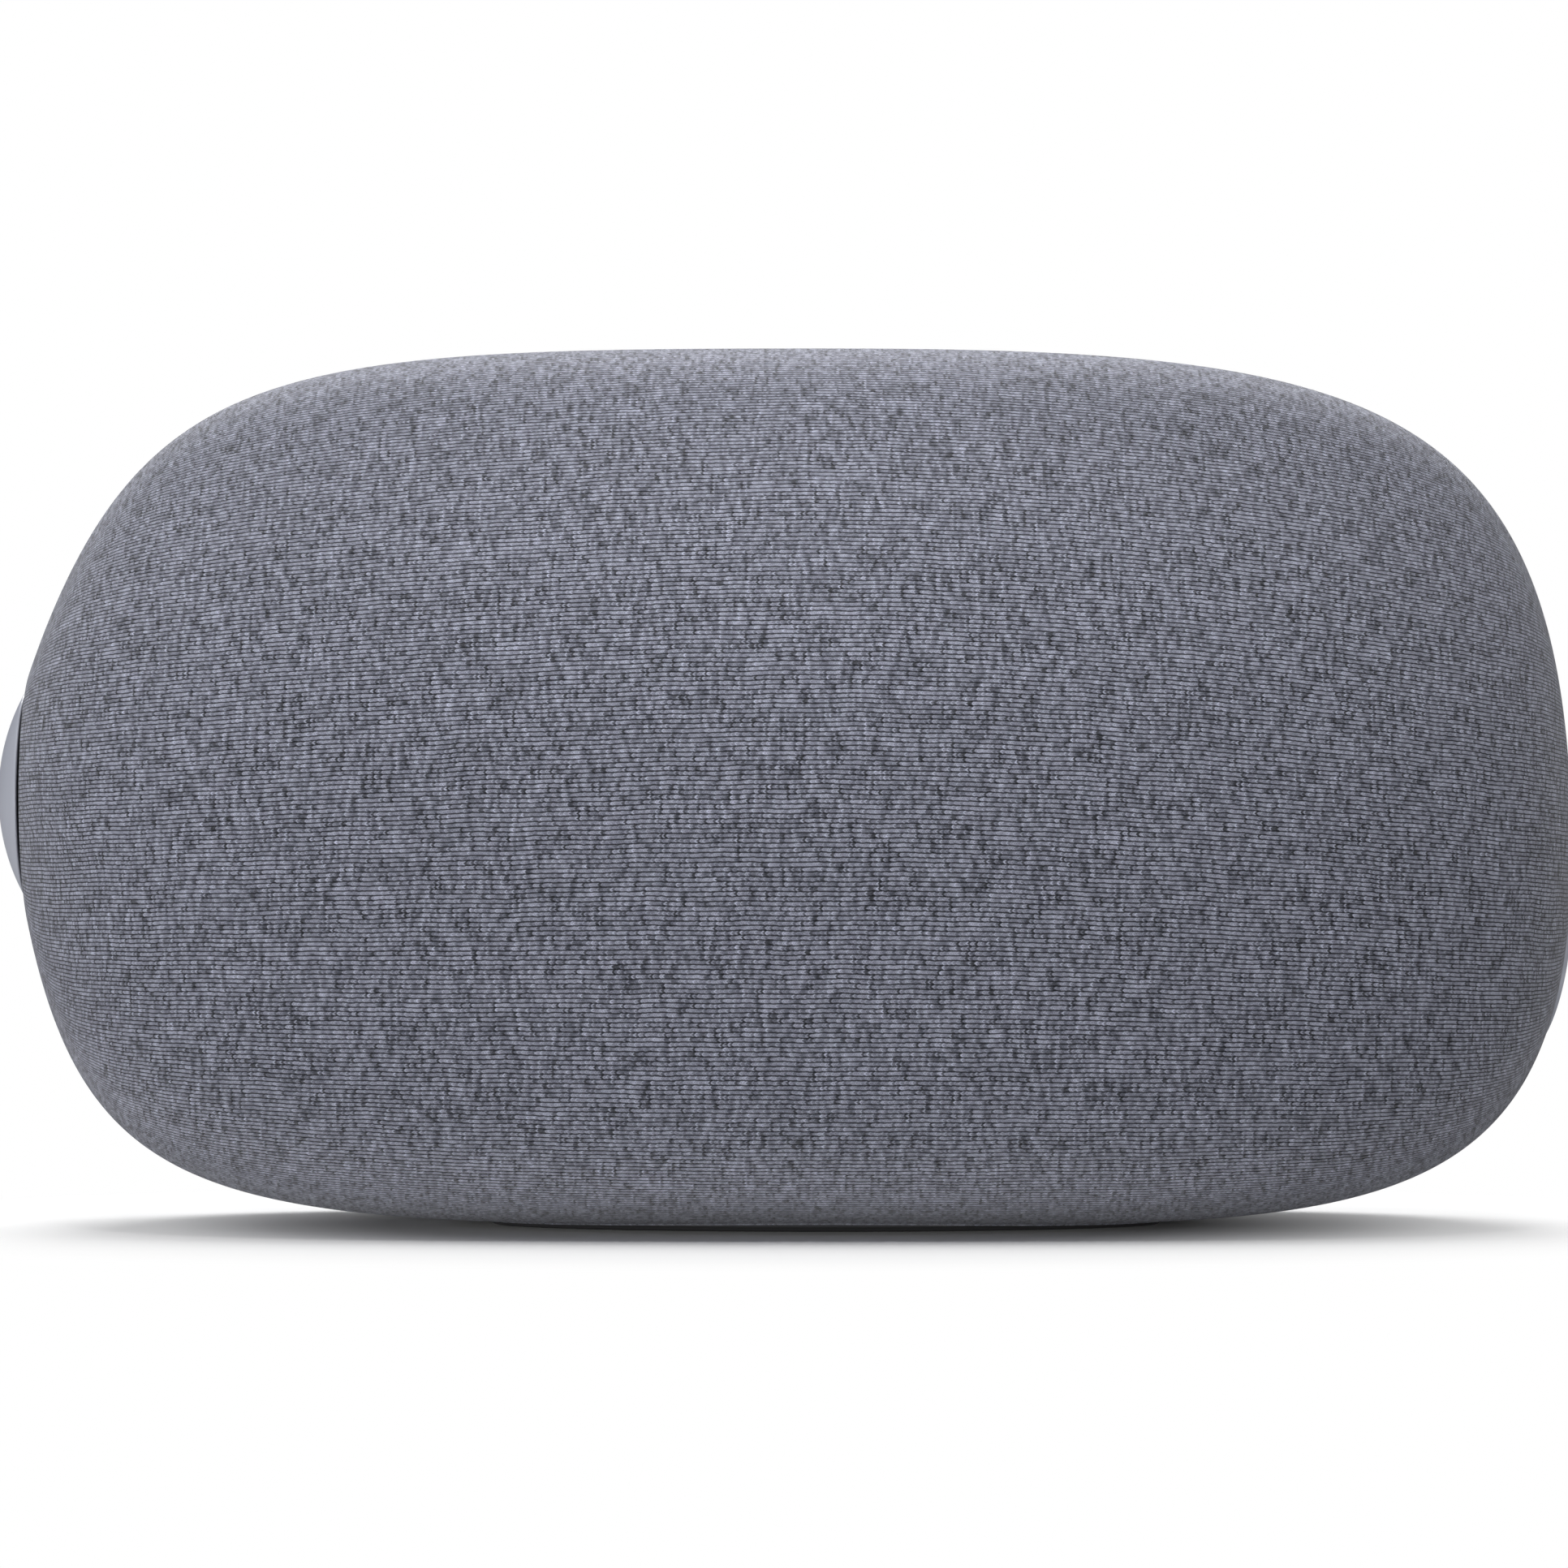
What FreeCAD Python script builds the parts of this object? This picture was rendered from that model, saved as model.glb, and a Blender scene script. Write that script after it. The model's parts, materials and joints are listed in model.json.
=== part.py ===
import FreeCAD, Part
import math
import os
import Sketcher
from FreeCAD import Matrix, Placement, Rotation, Vector

# A fabric-covered tabletop speaker, in millimetres. X runs along the body, with the dial at the -X end,
# the front faces -Y, and Z is up from the surface that the speaker stands on.

doc = FreeCAD.newDocument("smart_speaker")
sheet = doc.addObject("Spreadsheet::Sheet", "sizes")

DRIVING_SIZES = (
    # body outline
    ("crown_x", 8.0), ("crown_z", 167.3), ("belly_z", 1.0), ("widest_z", 60.0), ("half_depth", 65.0),
    ("left_end_x", -144.6), ("left_end_radius", 21.2), ("dial_z", 82.0),
    ("right_tip_x", 150.0), ("right_tip_z", 72.0),
    # layers
    ("knit", 1.2), ("shell_skin", 1.25), ("shell_wall", 2.6), ("parting_y", 42.0), ("seal_gap", 0.4),
    # inside
    ("middle_x", 4.0), ("baffle_y", -44.0), ("baffle_thick", 3.0),
    ("woofer_offset", 66.0), ("woofer_z", 62.0), ("woofer_radius", 42.0), ("woofer_hole", 36.6),
    ("tweeter_offset", 24.0), ("tweeter_z", 106.0), ("tweeter_radius", 17.0), ("tweeter_hole", 13.2),
    ("radiator_z", 62.0), ("radiator_radius", 46.0), ("radiator_hole", 40.5), ("radiator_face_y", 42.2),
    ("chassis_y", 2.5), ("chassis_thick", 2.5), ("board_y", 10.0), ("board_thick", 1.6),
    # fixings
    ("shank_radius", 1.4), ("head_radius", 2.8), ("head_height", 1.4), ("boss_radius", 4.0),
    # underside
    ("base_half_length", 72.8), ("base_half_width", 30.8), ("base_low", 1.4), ("base_high", 4.6),
    ("foot_half_length", 64.0), ("foot_half_width", 24.0), ("foot_high", 2.3),
    # dial
    ("cap_radius", 19.4), ("cap_crown_x", -150.0), ("cap_rim_x", -142.2), ("cap_dome", 40.4),
    ("cap_edge_x", -144.75), ("cap_skirt_radius", 18.2), ("cap_wall", 1.6),
    ("recess_radius", 20.1), ("recess_rim_radius", 21.7), ("recess_rim_x", -142.2), ("neck_radius", 16.95), ("shaft_radius", 3.0),
    ("fit_gap", 0.05),
    # port panel, seen along its own axis
    ("port_turn", 15.0), ("port_across", -19.75), ("port_z", 46.5), ("port_half_length", 21.0),
    ("port_half_height", 12.5), ("port_proud", 1.2), ("port_board_out", 134.0),
)
for row, (alias, value) in enumerate(DRIVING_SIZES, start=1):
    cell = "B%d" % row
    sheet.set("A%d" % row, alias)
    sheet.set(cell, str(value))
    sheet.setAlias(cell, alias)
doc.recompute()


def size(alias):
    """One driving size, as a plain number."""
    return float(sheet.get(alias))


def number(expression):
    """The value of an expression over the driving sizes."""
    value = sheet.evalExpression(expression)
    return float(getattr(value, "Value", value))


# ---------------------------------------------------------------- helpers

def place(item, at, rotation=None):
    """Put an object at three expressions."""
    if rotation is None:
        rotation = Rotation()
    item.Placement = Placement(Vector(*[number(a) for a in at]), rotation)
    for axis, expression in zip("xyz", at):
        item.setExpression("Placement.Base." + axis, expression)
    return item


def block(name, low, spans, rotation=None):
    """A box from its low corner and its spans, all expressions."""
    item = doc.addObject("Part::Box", name)
    for prop, expression in zip(("Length", "Width", "Height"), spans):
        item.setExpression(prop, expression)
    return place(item, low, rotation)


def rod(name, radius, length, start, direction=(0, 0, 1)):
    """A cylinder from its start, along a direction."""
    item = doc.addObject("Part::Cylinder", name)
    item.setExpression("Radius", radius)
    item.setExpression("Height", length)
    return place(item, start, Rotation(Vector(0, 0, 1), Vector(*direction)))


def joined(name, parts):
    item = doc.addObject("Part::MultiFuse", name)
    item.Shapes = parts
    return item


def group(name, parts):
    """Separate solids in one node."""
    item = doc.addObject("Part::Compound", name)
    item.Links = parts
    return item


def cut(name, base, tools):
    item = doc.addObject("Part::Cut", name)
    item.Base = base
    item.Tool = tools[0] if len(tools) == 1 else joined(name + "_tools", tools)
    return item


def turned(name, outline, at=("0", "0", "0"), rotation=None):
    """A turned piece. The outline is (along, radius) pairs of expressions, turned about its own X axis."""
    body = doc.addObject("PartDesign::Body", name)
    sketch = body.newObject("Sketcher::SketchObject", name + "_outline")
    planes = [f for f in body.Origin.OriginFeatures if f.Role == "XY_Plane"]
    sketch.AttachmentSupport = (planes[0], [""])
    sketch.MapMode = "FlatFace"
    corners = [(number(a), number(r)) for a, r in outline]
    count = len(corners)
    for i in range(count):
        start = Vector(*corners[i], 0)
        end = Vector(*corners[(i + 1) % count], 0)
        sketch.addGeometry(Part.LineSegment(start, end))
    for i in range(count):
        sketch.addConstraint(Sketcher.Constraint("Coincident", i, 2, (i + 1) % count, 1))
    for i in range(count):
        for kind, axis, expression, value in zip(("DistanceX", "DistanceY"), (-2, -1), outline[i], corners[i]):
            if expression == "0":
                sketch.addConstraint(Sketcher.Constraint("PointOnObject", i, 1, axis))
            else:
                tied = sketch.addConstraint(Sketcher.Constraint(kind, -1, 1, i, 1, value))
                sketch.setExpression("Constraints[%d]" % tied, expression)
    turn = body.newObject("PartDesign::Revolution", name + "_turn")
    turn.Profile = sketch
    turn.ReferenceAxis = (sketch, ["H_Axis"])
    turn.Angle = 360
    return place(body, at, rotation)


def half_roll(name, middle_radius, roll_radius, roll_wall, at, direction):
    """The rubber half roll around a cone or a radiator plate, bulging along a direction."""
    way = Vector(*direction)
    spot = Vector(*[number(c) for c in at])
    middle, roll = number(middle_radius), number(roll_radius)
    hollow = Part.makeTorus(middle, roll - number(roll_wall), spot, way)
    item = doc.addObject("Part::Feature", name + "_roll")
    ring = Part.makeTorus(middle, roll, spot, way).cut(hollow)
    item.Shape = ring.common(Part.makeCylinder(middle + 2 * roll, 2 * roll, spot, way))
    return item


def dome(name, sphere_radius, wall, rim_radius, crown, direction):
    """A thin spherical dome: its crown at a place, bulging along a direction."""
    way = Vector(*direction)
    radius = number(sphere_radius)
    sag = radius - math.sqrt(radius ** 2 - number(rim_radius) ** 2)
    spot = Vector(*[number(c) for c in crown])
    middle = spot - way * radius
    foot = spot - way * sag
    feature = doc.addObject("Part::Feature", name)
    hollow = Part.makeSphere(radius, middle).cut(Part.makeSphere(radius - number(wall), middle))
    feature.Shape = hollow.common(Part.makeCylinder(number(rim_radius), 2 * radius, foot, way))
    return feature


def screw(name, at, direction, length):
    """A pan-head screw with a hexagonal socket. Its head rests at a place and its shank runs along a direction."""
    back = [-d for d in direction]
    shank = rod(name + "_shank", "sizes.shank_radius", length, at, direction)
    head = rod(name + "_head", "sizes.head_radius", "sizes.head_height", at, back)
    socket = doc.addObject("Part::Prism", name + "_socket")
    socket.Polygon = 6
    socket.setExpression("Circumradius", "sizes.head_radius / 2")
    socket.setExpression("Height", "sizes.head_height")
    offset = ["%s + %s * sizes.head_height / 2" % (a, b) for a, b in zip(at, back)]
    place(socket, offset, Rotation(Vector(0, 0, 1), Vector(*back)))
    return cut(name, joined(name + "_blank", [shank, head]), [socket])


FRONT = (0, -1, 0)
BACK = (0, 1, 0)
TO_FRONT = Rotation(Vector(0, 0, 1), -90)
TO_BACK = Rotation(Vector(0, 0, 1), 90)

# ---------------------------------------------------------------- body form

crown_x = size("crown_x")
mid_z = (size("crown_z") + size("belly_z")) / 2
half_height = (size("crown_z") - size("belly_z")) / 2
end_low = size("dial_z") - size("left_end_radius")
end_high = size("dial_z") + size("left_end_radius")

# Each outline is a cubic curve from the crown to an end, given by its four control points: first along X,
# then the height or half depth there.
LEFT = {
    "top": ((crown_x, -98.4, -123.7, size("left_end_x")), (size("crown_z"), size("crown_z"), 165.4, end_high)),
    "low": ((crown_x, -104.1, -133.7, size("left_end_x")), (size("belly_z"), size("belly_z"), 0.1, end_low)),
    "deep": ((crown_x, -90.0, -132.0, size("left_end_x")),
             (size("half_depth"), size("half_depth"), 60.0, size("left_end_radius"))),
}
RIGHT = {
    "top": ((crown_x, 112.6, size("right_tip_x"), size("right_tip_x")),
            (size("crown_z"), size("crown_z"), 158.7, size("right_tip_z"))),
    "low": ((crown_x, 106.4, size("right_tip_x"), size("right_tip_x")),
            (size("belly_z"), size("belly_z"), -3.0, size("right_tip_z"))),
    "deep": ((crown_x, 100.0, size("right_tip_x"), size("right_tip_x")),
             (size("half_depth"), size("half_depth"), 60.0, 0.0)),
}
STATIONS_A_SIDE = 9
POINTS_ROUND = 28
TIP_FLAT = 0.07     # how far the last section stays from the right-hand tip
SQUARE_BELOW = 1.8  # how much squarer than an ellipse the lower half of the middle section is


def cubic(points, share):
    rest = 1 - share
    a, b, c, d = points
    return rest ** 3 * a + 3 * share * rest ** 2 * b + 3 * share ** 2 * rest * c + share ** 3 * d


def at_station(curve, x):
    """The curve's value where its X reaches a station."""
    along, values = curve
    low, high = 0.0, 1.0
    for _ in range(50):
        share = (low + high) / 2
        if abs(cubic(along, share) - crown_x) < abs(x - crown_x):
            low = share
        else:
            high = share
    return cubic(values, (low + high) / 2)


def section(x):
    """The body's closed section at a station: elliptical above its widest height, squarer below it."""
    left = x < crown_x
    curves = LEFT if left else RIGHT
    top, low, deep = [at_station(curves[key], x) for key in ("top", "low", "deep")]
    smallest = size("left_end_radius") if left else 0.0
    fullness = max(0.0, ((top - low) / 2 - smallest) / (half_height - smallest))
    end_z = size("dial_z") if left else size("right_tip_z")
    widest = end_z + (size("widest_z") - end_z) * fullness ** 1.5
    points = []
    for k in range(POINTS_ROUND):
        angle = 2 * math.pi * k / POINTS_ROUND
        across, up = math.cos(angle), math.sin(angle)
        power = 2 / (2 + SQUARE_BELOW * fullness ** 2) if up < 0 else 1.0
        reach = top - widest if up > 0 else widest - low
        y = deep * math.copysign(abs(across) ** power, across)
        z = widest + reach * math.copysign(abs(up) ** power, up)
        points.append(Vector(x, y, z))
    return points


def section_wire(x):
    ring = Part.BSplineCurve()
    ring.interpolate(Points=section(x), PeriodicFlag=True)
    return Part.Wire([ring.toShape()])


stations = []
for k in range(STATIONS_A_SIDE + 1):
    lean = math.cos(math.pi / 2 * k / STATIONS_A_SIDE)
    stations.append(size("left_end_x") + (crown_x - size("left_end_x")) * (1 - lean))
for k in range(1, STATIONS_A_SIDE):
    stations.append(crown_x + (size("right_tip_x") - crown_x) * math.sin(math.pi / 2 * k / STATIONS_A_SIDE))
stations.append(size("right_tip_x") - TIP_FLAT)
outer_form = Part.makeLoft([section_wire(x) for x in stations], True, False)


def form(inset):
    """The body's form drawn in by an inset, about its own middle. A negative inset stands proud."""
    shrink_x = 1 - 2 * inset / (size("right_tip_x") - size("left_end_x"))
    shrink_y = 1 - inset / size("half_depth")
    shrink_z = 1 - inset / half_height
    mid_x = (size("right_tip_x") + size("left_end_x")) / 2
    change = Matrix()
    change.A11 = shrink_x
    change.A22 = shrink_y
    change.A33 = shrink_z
    change.A14 = mid_x * (1 - shrink_x)
    change.A34 = mid_z * (1 - shrink_z)
    return outer_form.transformGeometry(change)


REACH = 200.0


def slab(low_y, high_y):
    """Everything between two planes that face the front."""
    return Part.makeBox(2 * REACH, high_y - low_y, 2 * REACH, Vector(-REACH, low_y, -REACH))


def oval_post(half_length, half_width, low, high):
    """An upright oval under the crown."""
    rim = Part.Ellipse(Vector(crown_x, 0, low), half_length, half_width).toShape()
    return Part.Face(Part.Wire([rim])).extrude(Vector(0, 0, high - low))


# The port panel has its own axis, turned a little from +X towards the back.
port_turn = math.radians(size("port_turn"))
OUT = Vector(math.cos(port_turn), math.sin(port_turn), 0)
ACROSS = Vector(-math.sin(port_turn), math.cos(port_turn), 0)


def port_point(out, across, up):
    """A place given along the port panel's axis, across it, and up, from the panel's middle."""
    spot = OUT * out + ACROSS * (size("port_across") + across)
    return Vector(spot.x, spot.y, size("port_z") + up)


def port_bar(low_out, high_out, half_length, half_height, across=0.0, up=0.0):
    """A round-ended bar along the port panel's axis."""
    flat = half_length - half_height
    length = high_out - low_out
    ends = [Part.makeCylinder(half_height, length, port_point(low_out, across + side * flat, up), OUT)
            for side in (-1, 1)]
    if flat < 0.01:
        return ends[0]
    middle = Part.makeBox(length, 2 * flat, 2 * half_height)
    middle.Placement = Placement(port_point(low_out, across - flat, up - half_height),
                                 Rotation(Vector(0, 0, 1), size("port_turn")))
    return middle.fuse(ends).removeSplitter()


def port_block(low_out, high_out, half_length, half_height, across=0.0, up=0.0):
    """A square-ended bar along the port panel's axis."""
    bar = Part.makeBox(high_out - low_out, 2 * half_length, 2 * half_height)
    bar.Placement = Placement(port_point(low_out, across - half_length, up - half_height),
                              Rotation(Vector(0, 0, 1), size("port_turn")))
    return bar


def feature(name, shape):
    item = doc.addObject("Part::Feature", name)
    item.Shape = shape
    return item


PORT_NEAR = 120.0
PORT_FAR = 160.0
GAP = 0.15
CUT_DEPTH = 12.0

dial_bore = Part.makeCylinder(size("recess_radius"), CUT_DEPTH,
                              Vector(size("left_end_x") - 1, 0, size("dial_z")), Vector(1, 0, 0))
base_bore = oval_post(size("base_half_length") + GAP, size("base_half_width") + GAP, -1, size("base_high") + GAP)
port_bore = port_bar(PORT_NEAR, PORT_FAR, size("port_half_length") + GAP, size("port_half_height") + GAP)
openings = [dial_bore, base_bore, port_bore]
dial_rim_seat = Part.makeCylinder(size("recess_rim_radius"), size("recess_rim_x") - size("left_end_x") + 1,
                                  Vector(size("left_end_x") - 1, 0, size("dial_z")), Vector(1, 0, 0))

# ---------------------------------------------------------------- casing

sleeve_back = form(size("knit"))
shell_face = form(size("shell_skin"))
cavity = form(size("shell_skin") + size("shell_wall"))
feature("knit_sleeve", outer_form.cut(sleeve_back).cut(openings))

seal_front_y = size("parting_y") - size("seal_gap")
SEAL_INSET = 0.6
seal = form(size("shell_skin") + SEAL_INSET).cut(form(size("shell_skin") + size("shell_wall") - SEAL_INSET))
feature("shell_seal", seal.common(slab(seal_front_y, size("parting_y"))))

BAFFLE_POSTS = (("0", "116"), ("0", "16"), ("-100", "100"), ("100", "100"), ("-100", "24"), ("100", "24"))
CASE_POSTS = (("-100", "110"), ("100", "110"), ("-100", "27"), ("100", "27"))
CASE_POST_LENGTH = 18.0
RIB = 2.4
RIB_REACH = 45.0
BASE_POSTS = ((-46.0, -10.0), (-46.0, 10.0), (46.0, -10.0), (46.0, 10.0))
BASE_POST_HIGH = 9.6
BASE_SCREW_LENGTH = "5"
BASE_PILOT_DEPTH = 4.4
CASE_SCREW_LENGTH = "12"
BAFFLE_SCREW_LENGTH = "8"
PILOT = size("shank_radius") + size("fit_gap")
PILOT_DEPTH = 10.0
MIC_BOARD_TOP = 159.2
MIC_SPACING = 8.0


def grille_slots(middle, radius, rows, opening, low_y, high_y):
    """Level slots through the shell that fill a circle in front of a driver."""
    slots = []
    pitch = 2 * radius / rows
    for k in range(rows):
        level = -radius + pitch * (k + 0.5)
        half = math.sqrt(radius ** 2 - level ** 2)
        corner = Vector(middle[0] - half, low_y, middle[1] + level - opening / 2)
        slots.append(Part.makeBox(2 * half, high_y - low_y, opening, corner))
    return slots


def front_shell_shape():
    middle = size("middle_x")
    posts = []
    pilots = []
    for x, z in BAFFLE_POSTS:
        spot = Vector(middle + float(x), size("baffle_y"), float(z))
        posts.append(Part.makeCylinder(size("boss_radius"), 30, spot, Vector(*FRONT)))
        pilots.append(Part.makeCylinder(PILOT, PILOT_DEPTH - size("baffle_thick"), spot, Vector(*FRONT)))
    for x, z in CASE_POSTS:
        spot = Vector(middle + float(x), seal_front_y, float(z))
        posts.append(Part.makeCylinder(size("boss_radius"), CASE_POST_LENGTH, spot, Vector(*FRONT)))
        upper = float(z) > mid_z
        low_z = float(z) if upper else float(z) - RIB_REACH
        posts.append(Part.makeBox(RIB, CASE_POST_LENGTH, RIB_REACH,
                                  Vector(spot.x - RIB / 2, seal_front_y - CASE_POST_LENGTH, low_z)))
        pilots.append(Part.makeCylinder(PILOT, PILOT_DEPTH, spot, Vector(*FRONT)))
    for x, y in BASE_POSTS:
        spot = Vector(crown_x + x, y, size("base_high") + GAP)
        tall = BASE_POST_HIGH - spot.z
        posts.append(Part.makeCylinder(size("boss_radius"), tall, spot))
        corner_x = spot.x if x > 0 else spot.x - RIB_REACH
        posts.append(Part.makeBox(RIB_REACH, RIB, tall, Vector(corner_x, y - RIB / 2, spot.z)))
        pilots.append(Part.makeCylinder(PILOT, BASE_PILOT_DEPTH, spot))
    for side in (-1, 1):
        spot = Vector(crown_x + side * 1.6 * MIC_SPACING, 0, MIC_BOARD_TOP)
        posts.append(Part.makeCylinder(1.2, 10, spot))
        pilots.append(Part.makeCylinder(0.6, 10, Vector(crown_x + side * MIC_SPACING, 0, MIC_BOARD_TOP + 2)))
    slots = []
    for side in (-1, 1):
        woofer = (middle + side * size("woofer_offset"), size("woofer_z"))
        tweeter = (middle + side * size("tweeter_offset"), size("tweeter_z"))
        slots += grille_slots(woofer, 34.0, 6, 6.0, -70.0, -50.0)
        slots += grille_slots(tweeter, 10.0, 2, 6.0, -70.0, -44.0)
    walls = shell_face.cut(cavity).cut(openings + [dial_rim_seat] + slots)
    trimmed = [post.common(shell_face) for post in posts]
    whole = walls.fuse(trimmed).cut(pilots)
    return whole.cut(slab(seal_front_y, REACH))


feature("front_shell", front_shell_shape())


def rear_shell_shape():
    middle = size("middle_x")
    spot = (middle, size("radiator_z"))
    web = cavity.common(slab(size("radiator_face_y"), size("radiator_face_y") + 2.6))
    web = web.cut(Part.makeCylinder(size("radiator_hole"), 20, Vector(spot[0], size("parting_y") - 2, spot[1]),
                                    Vector(*BACK)))
    holes = []
    for x, z in CASE_POSTS:
        place_x = middle + float(x)
        holes.append(Part.makeCylinder(size("head_radius") + GAP, 30, Vector(place_x, 46.0, float(z)), Vector(*BACK)))
        holes.append(Part.makeCylinder(PILOT + 0.2, 30, Vector(place_x, size("parting_y") - 2, float(z)),
                                       Vector(*BACK)))
    slots = grille_slots(spot, 36.0, 6, 6.0, 50.0, 70.0)
    posts = [Part.makeCylinder(size("boss_radius") + 1, 20, Vector(middle + float(x), size("parting_y"), float(z)),
                               Vector(*BACK)).common(shell_face) for x, z in CASE_POSTS]
    back = shell_face.common(slab(size("parting_y"), REACH))
    walls = back.cut(cavity).cut(slots)
    return walls.fuse([web] + posts).cut(holes)


feature("rear_shell", rear_shell_shape())

case_screws = []
for k, (x, z) in enumerate(CASE_POSTS):
    case_screws.append(screw("case_screw_%d" % k, ("sizes.middle_x + %s" % x, "46", z), FRONT,
                             CASE_SCREW_LENGTH))
group("case_screws", case_screws)


def base_plate_shape():
    plate = oval_post(size("base_half_length"), size("base_half_width"), size("base_low"), size("base_high"))
    seat = oval_post(size("foot_half_length") + GAP, size("foot_half_width") + GAP, 0, size("foot_high") + 0.1)
    cuts = [seat]
    for x, y in BASE_POSTS:
        low = Vector(crown_x + x, y, 0)
        cuts.append(Part.makeCylinder(PILOT + 0.2, 10, low))
        cuts.append(Part.makeCylinder(size("head_radius") + GAP, size("foot_high") + 1.5, low))
    return plate.cut(cuts)


feature("base_plate", base_plate_shape())


def rubber_foot_shape():
    pad = oval_post(size("foot_half_length"), size("foot_half_width"), 0, size("foot_high"))
    lower_rim = [edge for edge in pad.Edges if edge.BoundBox.ZMax < 0.1]
    return pad.makeFillet(0.8, lower_rim)


feature("rubber_foot", rubber_foot_shape())
base_screws = []
for k, (x, y) in enumerate(BASE_POSTS):
    at = ("sizes.crown_x + %g" % x, "%g" % y, "sizes.foot_high + 1.5")
    base_screws.append(screw("base_screw_%d" % k, at, (0, 0, 1), BASE_SCREW_LENGTH))
group("base_screws", base_screws)

# ---------------------------------------------------------------- baffle

COLUMNS = (("0", "26"), ("0", "78"), ("-115", "62"), ("115", "62"))


def driver_baffle_shape():
    plate = form(size("shell_skin") + size("shell_wall") + 0.3)
    plate = plate.common(slab(size("baffle_y"), size("baffle_y") + size("baffle_thick")))
    cuts = []
    for side in (-1, 1):
        for kind in ("woofer", "tweeter"):
            spot = Vector(size("middle_x") + side * size(kind + "_offset"), size("baffle_y") - 1, size(kind + "_z"))
            cuts.append(Part.makeCylinder(size(kind + "_hole"), 10, spot, Vector(*BACK)))
    for x, z in BAFFLE_POSTS + COLUMNS:
        spot = Vector(size("middle_x") + float(x), size("baffle_y") - 1, float(z))
        cuts.append(Part.makeCylinder(PILOT + 0.2, 10, spot, Vector(*BACK)))
    return plate.cut(cuts)


feature("driver_baffle", driver_baffle_shape())
baffle_screws = []
for k, (x, z) in enumerate(BAFFLE_POSTS):
    at = ("sizes.middle_x + %s" % x, "sizes.baffle_y + sizes.baffle_thick", z)
    baffle_screws.append(screw("baffle_screw_%d" % k, at, FRONT, BAFFLE_SCREW_LENGTH))
for k, (x, z) in enumerate(COLUMNS):
    at = ("sizes.middle_x + %s" % x, "sizes.baffle_y", z)
    baffle_screws.append(screw("column_screw_%d" % k, at, BACK, BAFFLE_SCREW_LENGTH))
group("baffle_screws", baffle_screws)

# ---------------------------------------------------------------- drivers


def woofer(side, sign):
    """A woofer. Distances along it run forwards from the baffle's front face."""
    name = "woofer_" + side + "_"
    at = ("sizes.middle_x + %d * sizes.woofer_offset" % sign, "sizes.baffle_y", "sizes.woofer_z")

    def forward(distance):
        return (at[0], "sizes.baffle_y - (%s)" % distance, at[2])

    pressing = turned(name + "pressing", (
        ("0", "sizes.woofer_radius"), ("2.5", "sizes.woofer_radius"), ("2.5", "sizes.woofer_radius - 2.4"),
        ("0.4", "sizes.woofer_radius - 2.4"), ("0.4", "sizes.woofer_radius - 6.8"), ("-4", "34.4"),
        ("-19.85", "24.9"), ("-19.85", "22.4"), ("-22", "22.4"), ("-22", "13.7"), ("-23.2", "13.7"),
        ("-23.2", "24.5"), ("-19.85", "26.4"), ("-4.6", "35.6"), ("0", "sizes.woofer_radius - 5.6")), at, TO_FRONT)
    windows = []
    for k in range(4):
        turn = Rotation(Vector(0, 1, 0), 45 + 90 * k)
        corner = turn.multVec(Vector(24, 0, -9))
        low = (at[0] + " + %.6f" % corner.x, "sizes.baffle_y + 6", at[2] + " + %.6f" % corner.z)
        windows.append(block(name + "window_%d" % k, low, ("20", "12", "18"), turn))
    cut(name + "basket", pressing, windows)
    turned(name + "magnet", (("-27.2", "14.5"), ("-27.2", "28"), ("-36.2", "28"), ("-36.2", "14.5")), at, TO_FRONT)
    plate = turned(name + "top_plate", (
        ("-23.2", "13.7"), ("-23.2", "24"), ("-27.2", "24"), ("-27.2", "13.7")), at, TO_FRONT)
    yoke = turned(name + "pole", (
        ("-36.2", "27"), ("-40.2", "27"), ("-40.2", "0"), ("-23", "0"), ("-23", "12"), ("-36.2", "12")), at, TO_FRONT)
    group(name + "yoke", [plate, yoke])
    turned(name + "voice_coil", (
        ("-30.5", "12.5"), ("-30.5", "13.3"), ("-23.5", "13.3"), ("-23.5", "13"), ("-13", "13"), ("-13", "12.5")),
        at, TO_FRONT)
    turned(name + "cone", (
        ("-16.5", "13.05"), ("-15.6", "13.05"), ("-0.3", "30.8"), ("0.35", "31"), ("0.35", "33.1"), ("-0.5", "33.1")),
        at, TO_FRONT)
    dome(name + "dust_cap", "22", "0.5", "17", forward("-3.2"), FRONT)
    spider = [("-19.4", "13.1")]
    ridges = 5
    for k in range(1, 2 * ridges):
        spider.append(("%g" % (-19.4 + 0.9 * (k % 2)), "%g" % (13.1 + k)))
    spider += [("-19.4", "22.9"), ("-19.4", "24.4")]
    under = [("%s - 0.4" % along, radius) for along, radius in reversed(spider)]
    turned(name + "spider", tuple(spider + under), at, TO_FRONT)
    roll = half_roll(name + "surround", "35.8", "2.7", "0.6", forward("0.4"), FRONT)
    lips = [turned(name + "surround_lip_%d" % k, (("0.4", inner), ("1", inner), ("1", outer), ("0.4", outer)),
                   at, TO_FRONT) for k, (inner, outer) in enumerate((("31.2", "33.3"), ("38.2", "39.5")))]
    joined(name + "surround", [roll] + lips)


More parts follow.
